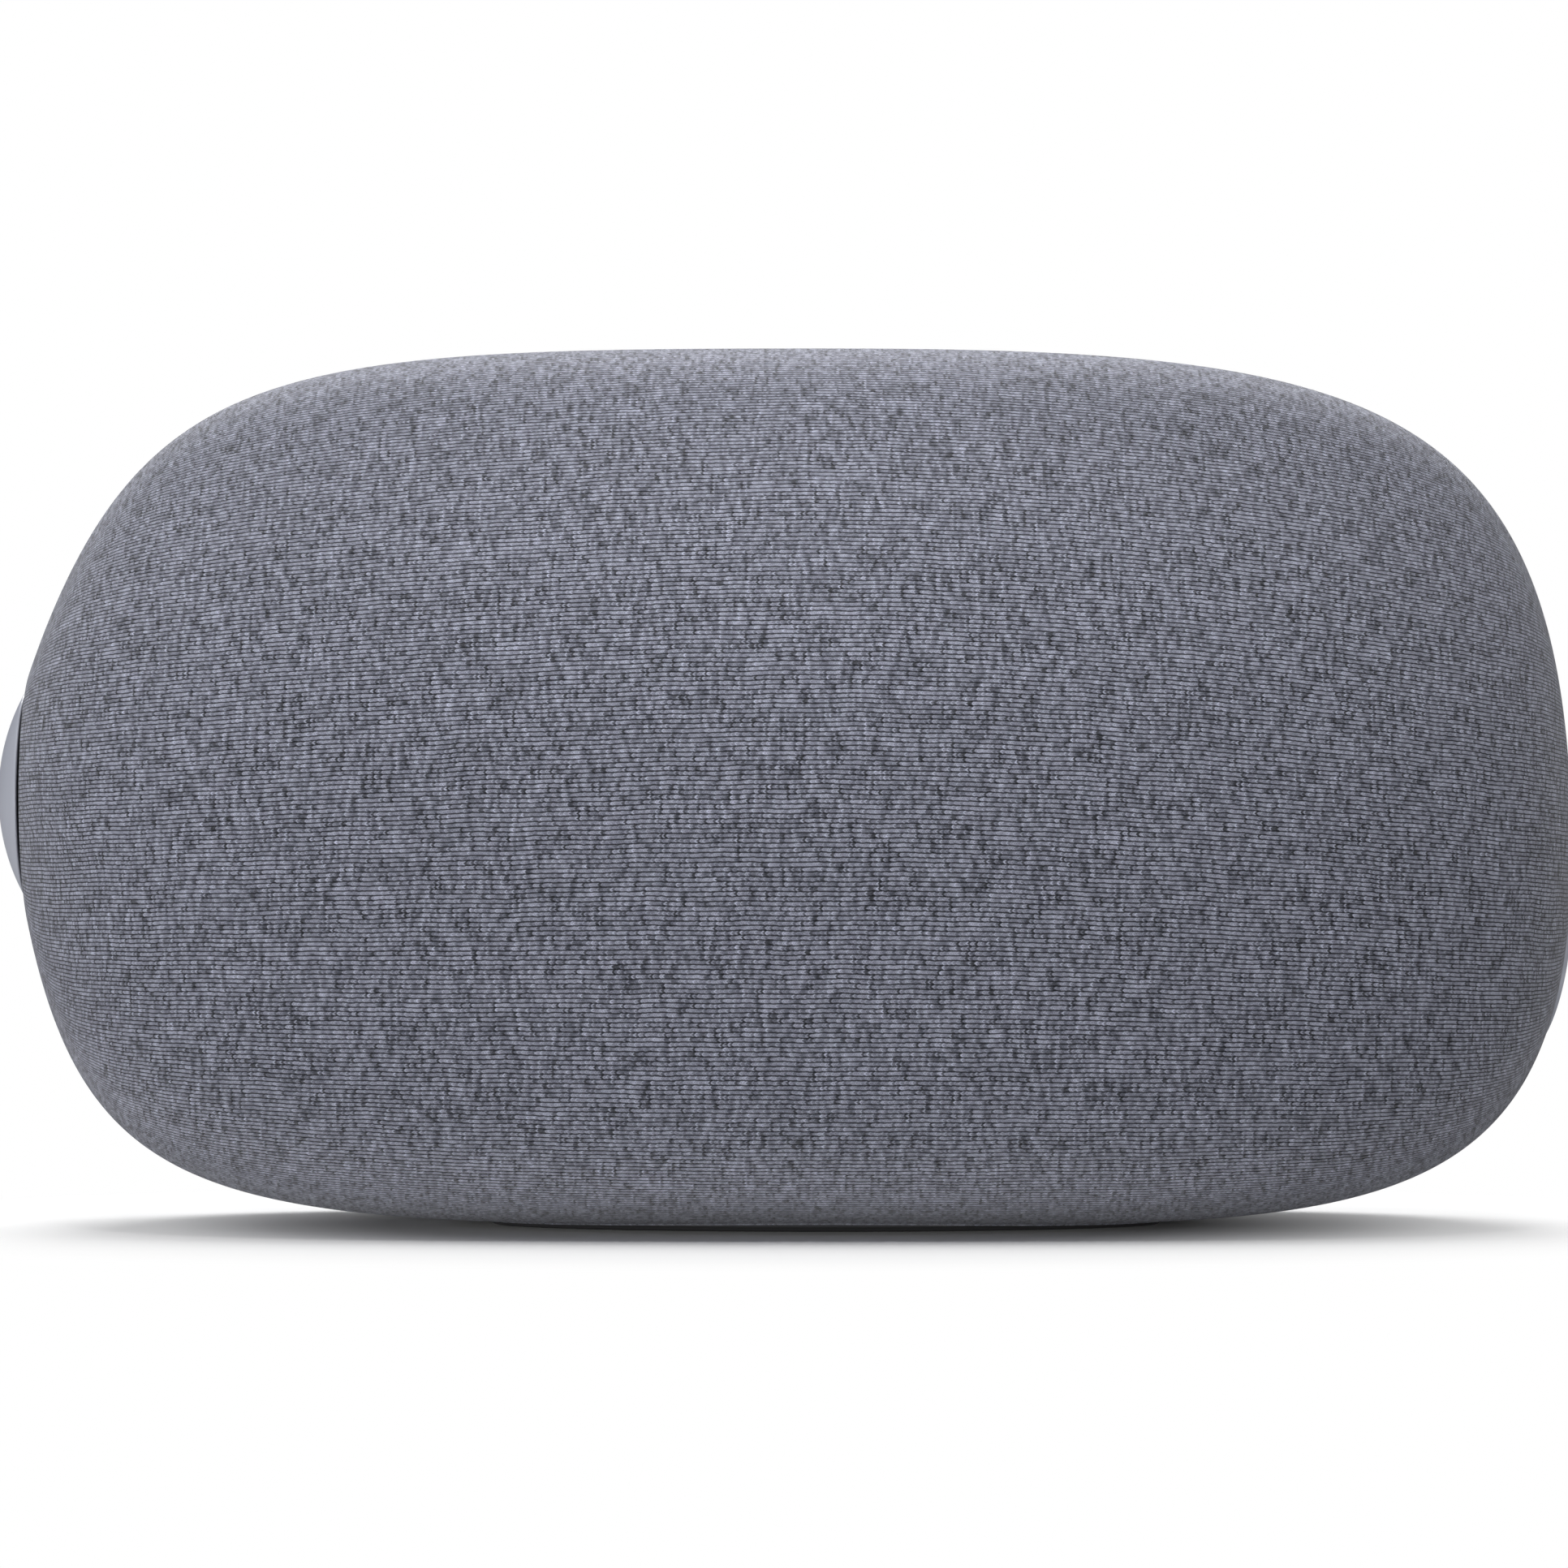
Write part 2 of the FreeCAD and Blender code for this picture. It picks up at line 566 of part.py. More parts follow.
def tweeter(side, sign):
    name = "tweeter_" + side + "_"
    at = ("sizes.middle_x + %d * sizes.tweeter_offset" % sign, "sizes.baffle_y", "sizes.tweeter_z")
    turned(name + "frame", (
        ("0", "sizes.tweeter_hole - 0.1"), ("0", "sizes.tweeter_radius"), ("2", "sizes.tweeter_radius"),
        ("2", "11.4"), ("0.6", "11.4"), ("0.6", "10"), ("-5", "10"), ("-5", "sizes.tweeter_hole - 0.1")),
        at, TO_FRONT)
    turned(name + "magnet", (
        ("-5", "0"), ("-5", "12.6"), ("-14", "12.6"), ("-14", "0")), at, TO_FRONT)
    skirt = turned(name + "skirt", (("-3.5", "8.2"), ("-3.5", "8.6"), ("1.2", "8.6"), ("1.2", "8.2")), at, TO_FRONT)
    cap = dome(name + "crown", "11", "0.4", "8.6", (at[0], "sizes.baffle_y - 4.9", at[2]), FRONT)
    joined(name + "dome", [skirt, cap])
    turned(name + "surround", (
        ("0.65", "8.65"), ("0.65", "11.3"), ("0.95", "11.3"), ("1.5", "10"), ("0.95", "8.65")), at, TO_FRONT)


def passive_radiator():
    """The rear radiator. Distances along it run backwards from the face that it is bonded to."""
    at = ("sizes.middle_x", "sizes.radiator_face_y", "sizes.radiator_z")
    turned("radiator_frame", (
        ("-3", "sizes.radiator_hole - 1.7"), ("-3", "sizes.radiator_radius"), ("0", "sizes.radiator_radius"),
        ("0", "sizes.radiator_hole - 1.7")), at, TO_BACK)
    turned("radiator_plate", (
        ("-2.2", "0"), ("-2.2", "33.2"), ("-1", "34"), ("-0.1", "34"), ("-0.1", "31.6"), ("-1.2", "30"),
        ("-1.2", "0")), at, TO_BACK)
    turned("radiator_weight", (("-6.2", "0"), ("-6.2", "16"), ("-2.2", "16"), ("-2.2", "0")), at, TO_BACK)
    roll = half_roll("radiator_surround", "36.6", "2.6", "0.7", at, BACK)
    lips = [turned("radiator_surround_lip_%d" % k, (("0", inner), ("0.7", inner), ("0.7", outer), ("0", outer)),
                   at, TO_BACK) for k, (inner, outer) in enumerate((("31.9", "34.2"), ("39", "40.3")))]
    joined("radiator_surround", [roll] + lips)


for side, sign in (("left", -1), ("right", 1)):
    woofer(side, sign)
    tweeter(side, sign)
passive_radiator()

# ---------------------------------------------------------------- chassis and electronics

BOARD = ("sizes.middle_x - 60", "sizes.board_y", "56")
BOARD_SPAN = ("120", "sizes.board_thick", "48")
BATTERY = ("sizes.middle_x - 66.5", "sizes.chassis_y + sizes.chassis_thick + 0.1", "14")


def inner_chassis():
    back = ("sizes.chassis_y", "sizes.chassis_thick")
    parts = [block("chassis_plate", ("sizes.middle_x - 72", back[0], "12"), ("144", back[1], "106")),
             block("chassis_arms", ("sizes.middle_x - 121", back[0], "55"), ("242", back[1], "14")),
             block("chassis_lip", ("sizes.middle_x - 72", back[0], "10"), ("144", "24", "3"))]
    for k, (x, z) in enumerate(COLUMNS):
        start = ("sizes.middle_x + %s" % x, "sizes.baffle_y + sizes.baffle_thick", z)
        length = "sizes.chassis_y - (%s)" % start[1]
        parts.append(rod("chassis_column_%d" % k, "sizes.boss_radius", length, start, BACK))
    for k, (x, z) in enumerate(((-56, 60), (56, 60), (-56, 100), (56, 100))):
        start = ("sizes.middle_x + %d" % x, "sizes.chassis_y + sizes.chassis_thick", "%d" % z)
        parts.append(rod("chassis_standoff_%d" % k, "2.5", "sizes.board_y - (%s)" % start[1], start, BACK))
    holes = []
    for k, (x, z) in enumerate(COLUMNS):
        start = ("sizes.middle_x + %s" % x, "sizes.baffle_y + sizes.baffle_thick", z)
        holes.append(rod("chassis_pilot_%d" % k, "sizes.shank_radius + sizes.fit_gap", "8", start, BACK))
    cut("inner_chassis", joined("chassis_blank", parts), holes)


def main_board():
    parts = [block("board_sheet", BOARD, BOARD_SPAN)]
    chips = ((-20, 74, 14, 14, 1.4), (6, 72, 10, 10, 1.2), (30, 70, 22, 22, 1.2), (-48, 66, 16, 10, 5),
             (-48, 84, 12, 12, 7), (-30, 92, 8, 6, 2), (4, 92, 18, 8, 1.6), (-8, 60, 24, 5, 4))
    for k, (x, z, wide, tall, thick) in enumerate(chips):
        low = ("sizes.middle_x + %g" % x, "sizes.board_y + sizes.board_thick", "%g" % z)
        parts.append(block("chip_%d" % k, low, ("%g" % wide, "%g" % thick, "%g" % tall)))
    joined("main_board", parts)


def heat_sink():
    low_y = "sizes.board_y + sizes.board_thick + 1.2"
    parts = [block("sink_base", ("sizes.middle_x + 28", low_y, "68"), ("26", "2", "26"))]
    for k in range(7):
        low = ("sizes.middle_x + 28 + %g" % (4.1 * k), low_y + " + 2", "68")
        parts.append(block("sink_fin_%d" % k, low, ("1.4", "8", "26")))
    joined("heat_sink", parts)


def battery_pack():
    cells = []
    for k, up in enumerate((9.3, 28.1)):
        for j in range(2):
            start = ("%s + %g" % (BATTERY[0], 66.5 * j + 0.4), "%s + 9.3" % BATTERY[1], "%s + %g" % (BATTERY[2], up))
            cells.append(rod("cell_%d_%d" % (k, j), "9.2", "65.2", start, (1, 0, 0)))
    group("battery_cells", cells)
    wrap = block("battery_wrap_blank", BATTERY, ("133", "18.6", "37.6"))
    room = block("battery_wrap_room", (BATTERY[0] + " + 0.3", BATTERY[1] + " - 1", BATTERY[2] + " + 3"),
                 ("132.4", "21", "31.6"))
    slots = [rod("battery_seat_%d" % k, "9.25", "132.4",
                 (BATTERY[0] + " + 0.3", BATTERY[1] + " + 9.3", "%s + %g" % (BATTERY[2], up)), (1, 0, 0))
             for k, up in enumerate((9.3, 28.1))]
    cut("battery_cradle", wrap, [room] + slots)


def mic_board():
    parts = [block("mic_sheet", ("sizes.crown_x - 15", "-5", "158"), ("30", "10", "1.2"))]
    for k, side in enumerate((-1, 1)):
        low = ("sizes.crown_x + %g" % (side * MIC_SPACING - 1.8), "-1.4", "%g" % MIC_BOARD_TOP)
        parts.append(block("mic_%d" % k, low, ("3.6", "2.8", "1.1")))
    joined("mic_board", parts)


inner_chassis()
main_board()
heat_sink()
battery_pack()
mic_board()
block("wifi_antenna", ("sizes.middle_x + 20", "sizes.chassis_y + sizes.chassis_thick", "107"), ("44", "0.8", "9"))

# ---------------------------------------------------------------- dial at the left end

DIAL = ("0", "0", "sizes.dial_z")
dial_axis = Vector(1, 0, 0)


def dial_cap_shape():
    centre = Vector(size("cap_crown_x") + size("cap_dome"), 0, size("dial_z"))
    ball = Part.makeSphere(size("cap_dome"), centre)
    hollow = Part.makeSphere(size("cap_dome") - size("cap_wall"), centre)
    start = Vector(size("cap_crown_x") - 1, 0, size("dial_z"))
    bore_radius = size("cap_skirt_radius") - size("cap_wall")
    disc = Part.makeCylinder(size("cap_radius"), size("cap_edge_x") - start.x, start, dial_axis)
    skirt = Part.makeCylinder(size("cap_skirt_radius"), size("cap_rim_x") - start.x, start, dial_axis)
    bore = Part.makeCylinder(bore_radius, size("cap_rim_x") + 1 - start.x, start, dial_axis)
    lid = ball.common(disc.fuse(skirt)).cut(hollow.common(bore))
    hub = Part.makeCylinder(5.6, 7.4, Vector(size("cap_crown_x") + 1.2, 0, size("dial_z")), dial_axis)
    shaft = encoder_shaft_shape(size("fit_gap") / 2)
    whole = lid.fuse(hub).cut(shaft)
    rim_edges = [e for e in whole.Edges if e.BoundBox.ZLength > 2 * size("cap_radius") - 0.1
                 and e.BoundBox.XLength < 0.01]
    return whole.makeFillet(0.12, rim_edges)


def encoder_shaft_shape(grow=0.0):
    """A shaft with a flat on its outer part."""
    start = Vector(size("cap_crown_x") + 2.2 - grow, 0, size("dial_z"))
    shaft = Part.makeCylinder(size("shaft_radius") + grow, 17.6 + grow, start, dial_axis)
    flat = Part.makeBox(7.0 + grow, 10, 3, Vector(start.x, -5, size("dial_z") + 2.2 + grow))
    return shaft.cut(flat)


feature("dial_cap", dial_cap_shape())
feature("encoder_shaft", encoder_shaft_shape())

turned("dial_seat", (
    ("-141.5", "15.4"), ("-141.5", "sizes.recess_radius - 0.1"), ("-139.9", "sizes.recess_radius - 0.1"),
    ("-139.9", "sizes.neck_radius"), ("-136", "sizes.neck_radius"), ("-136", "3.65"), ("-138", "3.65"),
    ("-138", "15.4")), DIAL)
encoder_bush = turned("encoder_bush", (
    ("-140.3", "sizes.shaft_radius + sizes.fit_gap"), ("-140.3", "3.5"), ("-136", "3.5"),
    ("-136", "sizes.shaft_radius + sizes.fit_gap")), DIAL)
encoder_case = cut("encoder_case", block("encoder_case_blank", ("-136", "-6.5", "sizes.dial_z - 6.5"),
                                         ("8", "13", "13")),
                   [rod("encoder_room", "5.2", "5.4", ("-134.6", "0", "sizes.dial_z"), (1, 0, 0)),
                    rod("encoder_bore", "sizes.shaft_radius + sizes.fit_gap", "3", ("-137", "0", "sizes.dial_z"),
                        (1, 0, 0))])
joined("encoder_housing", [encoder_bush, encoder_case])
turned("encoder_rotor", (
    ("-134.2", "sizes.shaft_radius + sizes.fit_gap"), ("-134.2", "4.8"), ("-131.8", "4.8"),
    ("-131.8", "sizes.shaft_radius + sizes.fit_gap")), DIAL)
nut_blank = doc.addObject("Part::Prism", "encoder_nut_blank")
nut_blank.Polygon = 6
nut_blank.setExpression("Circumradius", "5.8")
nut_blank.setExpression("Height", "1.8")
place(nut_blank, ("-139.8", "0", "sizes.dial_z"), Rotation(Vector(0, 0, 1), Vector(1, 0, 0)))
cut("encoder_nut", nut_blank, [rod("encoder_nut_bore", "3.52", "4", ("-141", "0", "sizes.dial_z"), (1, 0, 0))])
block("dial_board", ("-128", "-11", "sizes.dial_z - 9"), ("1.6", "22", "18"))

# ---------------------------------------------------------------- port panel at the right-hand end

BUTTON_ACROSS, BUTTON_RADIUS = -11.0, 4.0
SLIDER_ACROSS, SLIDER_UP = 1.5, 3.5
SOCKET_ACROSS, SOCKET_UP = 11.5, 0.0
LENS_ACROSS, LENS_UP = 1.5, -5.0
SLIDER_TRAVEL = 2.5
board_out = size("port_board_out")
board_face = board_out + 1.6

panel_face = form(-size("port_proud"))
panel_back = form(size("shell_skin") + size("shell_wall"))


def port_panel_shape():
    pill = port_bar(PORT_NEAR, PORT_FAR, size("port_half_length"), size("port_half_height"))
    panel = panel_face.common(pill).cut(panel_back)
    posts = [port_bar(board_face, 142.5, 1.8, 1.8, across, 6.0) for across in (-15.0, 15.0)]
    cuts = [port_bar(PORT_NEAR, PORT_FAR, BUTTON_RADIUS + GAP, BUTTON_RADIUS + GAP, BUTTON_ACROSS),
            port_bar(PORT_NEAR, PORT_FAR, 4.4 + SLIDER_TRAVEL / 2, 2.2, SLIDER_ACROSS, SLIDER_UP),
            port_bar(PORT_NEAR, PORT_FAR, 4.65, 1.75, SOCKET_ACROSS, SOCKET_UP),
            port_bar(PORT_NEAR, PORT_FAR, 1.2, 1.2, LENS_ACROSS, LENS_UP)]
    return panel.fuse(posts).cut(cuts)


def pair_button_shape():
    cap_zone = port_bar(PORT_NEAR, PORT_FAR, BUTTON_RADIUS, BUTTON_RADIUS, BUTTON_ACROSS)
    cap = form(-size("port_proud") - 0.6).common(cap_zone).cut(form(size("shell_skin")))
    stem = port_bar(board_face + 3.9, 147.0, 1.5, 1.5, BUTTON_ACROSS).common(panel_face)
    return cap.fuse(stem)


def mute_slider_shape():
    """The slider is drawn at one end of its slot, and slides across."""
    middle = SLIDER_ACROSS - SLIDER_TRAVEL / 2
    knob = form(-size("port_proud") - 0.6).common(port_bar(PORT_NEAR, PORT_FAR, 4.2, 2.0, middle, SLIDER_UP))
    knob = knob.cut(form(size("shell_skin")))
    stalk = port_block(board_face + 3.4, 147.0, 1.5, 1.0, middle, SLIDER_UP).common(panel_face)
    return knob.fuse(stalk)


def port_board_shape():
    sheet_shape = port_block(board_out, board_face, 17.6, 9.5)
    switch = port_block(board_face, board_face + 3.2, 3.0, 3.0, BUTTON_ACROSS)
    plunger = port_bar(board_face + 3.2, board_face + 3.5, 1.2, 1.2, BUTTON_ACROSS)
    slide = port_block(board_face, board_face + 3.0, 4.5, 2.0, SLIDER_ACROSS, SLIDER_UP)
    return sheet_shape.fuse([switch, plunger, slide])


def charging_socket_shape():
    """An upright metal charging socket with its tongue."""
    mouth = 145.6
    shell_bar = port_bar(board_face, mouth, 4.5, 1.6, SOCKET_ACROSS, SOCKET_UP)
    room = port_bar(board_face + 1, mouth + 1, 4.2, 1.3, SOCKET_ACROSS, SOCKET_UP)
    tongue = port_block(board_face, mouth - 1.2, 3.3, 0.35, SOCKET_ACROSS, SOCKET_UP)
    return shell_bar.cut(room).fuse(tongue)


feature("port_panel", port_panel_shape())
feature("pair_button", pair_button_shape())
feature("mute_slider", mute_slider_shape())
feature("port_board", port_board_shape())
feature("charging_socket", charging_socket_shape())
lens = port_bar(board_face, PORT_FAR, 1.1, 1.1, LENS_ACROSS, LENS_UP).common(form(-size("port_proud") + 0.1))
feature("status_lens", lens)

# ---------------------------------------------------------------- checking and writing

NODES = [
    "knit_sleeve", "front_shell", "rear_shell", "shell_seal", "case_screws", "base_plate", "rubber_foot",
    "base_screws", "driver_baffle", "baffle_screws", "radiator_frame", "radiator_surround", "radiator_plate",
    "radiator_weight", "inner_chassis", "main_board", "heat_sink", "battery_cells", "battery_cradle", "mic_board",
    "wifi_antenna", "dial_cap", "encoder_shaft", "dial_seat", "encoder_housing", "encoder_rotor", "encoder_nut",
    "dial_board", "port_panel", "pair_button", "mute_slider", "port_board", "charging_socket", "status_lens",
]
for side in ("left", "right"):
    for piece in ("basket", "magnet", "yoke", "voice_coil", "cone", "dust_cap", "spider", "surround"):
        NODES.append("woofer_%s_%s" % (side, piece))
    for piece in ("frame", "magnet", "dome", "surround"):
        NODES.append("tweeter_%s_%s" % (side, piece))

doc.recompute()
for item in doc.Objects:
    if "Invalid" in item.State or "Error" in item.State:
        raise RuntimeError("%s failed: %s" % (item.Name, item.State))
for name in NODES:
    shape = doc.getObject(name).Shape
    if shape.isNull() or not shape.isValid() or not shape.Solids:
        raise RuntimeError("%s has no valid solid" % name)
    if shape.Volume < 1:
        raise RuntimeError("%s is nearly empty" % name)

os.makedirs("parts", exist_ok=True)
for name in NODES:
    item = doc.getObject(name)
    item.Label = name
    item.Shape.exportStep("parts/%s.step" % name)
    print("%-24s %2d solids %10.1f mm3" % (name, len(item.Shape.Solids), item.Shape.Volume))
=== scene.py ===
import json
import math

import bmesh
import bpy
import numpy as np
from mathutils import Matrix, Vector
from mathutils.bvhtree import BVHTree


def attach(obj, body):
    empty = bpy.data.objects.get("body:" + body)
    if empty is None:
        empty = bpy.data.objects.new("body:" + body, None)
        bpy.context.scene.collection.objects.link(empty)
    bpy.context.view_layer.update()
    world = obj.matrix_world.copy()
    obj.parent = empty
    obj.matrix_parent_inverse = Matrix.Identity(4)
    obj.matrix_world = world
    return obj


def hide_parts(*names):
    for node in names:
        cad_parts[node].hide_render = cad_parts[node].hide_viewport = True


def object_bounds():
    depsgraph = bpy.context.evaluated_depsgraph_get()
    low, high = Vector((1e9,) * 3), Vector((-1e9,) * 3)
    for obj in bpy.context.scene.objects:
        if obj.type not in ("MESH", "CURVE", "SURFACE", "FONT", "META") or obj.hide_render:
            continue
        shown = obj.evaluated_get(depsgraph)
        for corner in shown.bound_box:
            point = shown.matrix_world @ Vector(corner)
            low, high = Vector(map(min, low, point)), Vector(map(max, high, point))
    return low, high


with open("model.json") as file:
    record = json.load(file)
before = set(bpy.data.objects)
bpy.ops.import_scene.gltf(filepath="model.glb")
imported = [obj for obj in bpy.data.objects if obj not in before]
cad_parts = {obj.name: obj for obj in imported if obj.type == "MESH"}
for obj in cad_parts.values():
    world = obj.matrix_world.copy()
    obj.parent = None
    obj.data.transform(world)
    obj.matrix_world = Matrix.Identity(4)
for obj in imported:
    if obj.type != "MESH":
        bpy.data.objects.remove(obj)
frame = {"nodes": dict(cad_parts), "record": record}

# A fabric-covered tabletop speaker, in metres: X along the body with the dial at -X, the front towards -Y,
# Z up from the surface it stands on.

MM = 0.001
CAD_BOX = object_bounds()
SCENE = bpy.context.scene
LOW, HIGH = CAD_BOX[0], CAD_BOX[1]
MIDDLE_Z = (LOW[2] + HIGH[2]) / 2

# ---------------------------------------------------------------- camera and lights

CAMERA_BACK = 1.24
CAMERA_RAISE = 0.0004               # above the body's middle
FRAME_WIDTH = 0.300                 # what the picture's width covers at the body's middle
SENSOR = 36.0
SPOT_SOFTNESS = 0.12

camera_data = bpy.data.cameras.new("camera")
camera_data.sensor_width = SENSOR
camera_data.lens = SENSOR * CAMERA_BACK / FRAME_WIDTH
camera_data.clip_end = 20.0
camera = bpy.data.objects.new("camera", camera_data)
camera.location = (0.0, -CAMERA_BACK, MIDDLE_Z + CAMERA_RAISE)
camera.rotation_euler = (math.pi / 2, 0, 0)
SCENE.collection.objects.link(camera)
SCENE.camera = camera
SCENE.view_settings.view_transform = "Standard"


def add_light(name, kind, place, aim, watts):
    """A light that stands at a place and points at its aim. Returns its settings."""
    data = bpy.data.lights.new(name, kind)
    data.energy = watts
    light = bpy.data.objects.new(name, data)
    light.location = place
    light.rotation_euler = (Vector(aim) - Vector(place)).to_track_quat("-Z", "Y").to_euler()
    SCENE.collection.objects.link(light)
    return data


def softbox(name, place, wide, tall, watts):
    """A rectangular light that points at the body's middle."""
    data = add_light(name, "AREA", place, (0, 0, MIDDLE_Z), watts)
    data.shape = "RECTANGLE"
    data.size = wide
    data.size_y = tall


def spotlight(name, place, aim, cone, watts):
    """A soft-edged spot light."""
    data = add_light(name, "SPOT", place, aim, watts)
    data.spot_size = cone
    data.spot_blend = 1.0
    data.shadow_soft_size = SPOT_SOFTNESS


softbox("top_softbox", (0.0, -0.10, 1.20), 0.8, 0.6, 6.9)
softbox("top_left_softbox", (-0.9, -0.3, 0.9), 0.6, 0.6, 2.6)
softbox("top_right_softbox", (0.9, -0.3, 0.9), 0.6, 0.6, 1.9)
softbox("back_strip", (0.0, 0.55, 0.55), 0.5, 0.2, 7.4)
softbox("low_left_reflector", (-0.55, -0.30, 0.03), 0.4, 0.1, 2.0)
softbox("low_front_left_reflector", (-0.45, -0.75, 0.05), 0.3, 0.12, 1.0)
softbox("low_right_reflector", (0.50, -0.65, 0.05), 0.3, 0.12, 1.9)
spotlight("crown_spot", (-0.02, -0.42, 0.75), (-0.01, -0.03, 0.155), math.radians(24), 14.0)

# The camera sees a white surround. The dim sky is what lights the object.
world = bpy.data.worlds.new("studio")
SCENE.world = world
world.use_nodes = True
tree = world.node_tree
sky = tree.nodes["Background"]
sky.inputs["Color"].default_value = (0.93, 0.95, 1.0, 1.0)
sky.inputs["Strength"].default_value = 0.02
seen = tree.nodes.new("ShaderNodeBackground")
seen.inputs["Color"].default_value = (1.0, 1.0, 1.0, 1.0)
seen.inputs["Strength"].default_value = 1.0
path = tree.nodes.new("ShaderNodeLightPath")
blend = tree.nodes.new("ShaderNodeMixShader")
tree.links.new(path.outputs["Is Camera Ray"], blend.inputs[0])
tree.links.new(sky.outputs[0], blend.inputs[1])
tree.links.new(seen.outputs[0], blend.inputs[2])
tree.links.new(blend.outputs[0], tree.nodes["World Output"].inputs["Surface"])

# ---------------------------------------------------------------- material helpers


class Graph:
    """A short way to write shader nodes."""

    def __init__(self, name):
        self.material = bpy.data.materials.new(name)
        self.material.use_nodes = True
        self.tree = self.material.node_tree
        self.shader = self.tree.nodes["Principled BSDF"]

    def link(self, value, socket):
        if isinstance(value, bpy.types.NodeSocket):
            self.tree.links.new(value, socket)
        else:
            socket.default_value = value

    def math(self, operation, a, b=0.0, c=0.0, clamp=False):
        node = self.tree.nodes.new("ShaderNodeMath")
        node.operation = operation
        node.use_clamp = clamp
        for value, socket in zip((a, b, c), node.inputs):
            self.link(value, socket)
        return node.outputs[0]

    def ramp(self, value, low, high, to_low=0.0, to_high=1.0):
        node = self.tree.nodes.new("ShaderNodeMapRange")
        node.interpolation_type = "SMOOTHSTEP"
        for setting, socket in zip((value, low, high, to_low, to_high), node.inputs):
            self.link(setting, socket)
        return node.outputs[0]

    def mix(self, share, a, b, blend_type="MIX"):
        node = self.tree.nodes.new("ShaderNodeMix")
        node.data_type = "RGBA"
        node.blend_type = blend_type
        self.link(share, node.inputs["Factor"])
        for value, socket in ((a, node.inputs[6]), (b, node.inputs[7])):
            self.link((*value, 1.0) if isinstance(value, tuple) and len(value) == 3 else value, socket)
        return node.outputs[2]

    def combine(self, x, y, z=0.0):
        node = self.tree.nodes.new("ShaderNodeCombineXYZ")
        for value, socket in zip((x, y, z), node.inputs):
            self.link(value, socket)
        return node.outputs[0]

    def noise(self, scale, vector=None, detail=3.0, roughness=0.6, distortion=0.0):
        node = self.tree.nodes.new("ShaderNodeTexNoise")
        node.inputs["Scale"].default_value = scale
        node.inputs["Detail"].default_value = detail
        node.inputs["Roughness"].default_value = roughness
        node.inputs["Distortion"].default_value = distortion
        self.link(vector if vector is not None else self.place(), node.inputs["Vector"])
        return node.outputs["Fac"]

    def speckle(self, vector):
        """One random value for each whole-number cell."""
        node = self.tree.nodes.new("ShaderNodeTexWhiteNoise")
        node.noise_dimensions = "3D"
        self.link(vector, node.inputs["Vector"])
        return node.outputs["Value"]

    def place(self):
        """The point in the object's own space."""
        return self.tree.nodes.new("ShaderNodeTexCoord").outputs["Object"]

    def split(self, vector):
        node = self.tree.nodes.new("ShaderNodeSeparateXYZ")
        self.link(vector, node.inputs[0])
        return node.outputs

    def uv(self, name):
        node = self.tree.nodes.new("ShaderNodeUVMap")
        node.uv_map = name
        return node.outputs[0]

    def bump(self, height, distance, strength=1.0):
        node = self.tree.nodes.new("ShaderNodeBump")
        node.inputs["Strength"].default_value = strength
        node.inputs["Distance"].default_value = distance
        self.link(height, node.inputs["Height"])
        self.tree.links.new(node.outputs[0], self.shader.inputs["Normal"])

    def set(self, **settings):
        names = {"colour": "Base Color", "rough": "Roughness", "metal": "Metallic", "coat": "Coat Weight",
                 "sheen": "Sheen Weight", "sheen_rough": "Sheen Roughness", "specular": "Specular IOR Level"}
        for key, value in settings.items():
            value = (*value, 1.0) if isinstance(value, tuple) and len(value) == 3 else value
            self.link(value, self.shader.inputs[names[key]])
        return self.material


def srgb(r, g, b):
    """A colour given as it looks on a screen, from 0 to 255."""
    return tuple((v / 255 / 12.92) if v < 11 else ((v / 255 + 0.055) / 1.055) ** 2.4 for v in (r, g, b))


# ---------------------------------------------------------------- materials


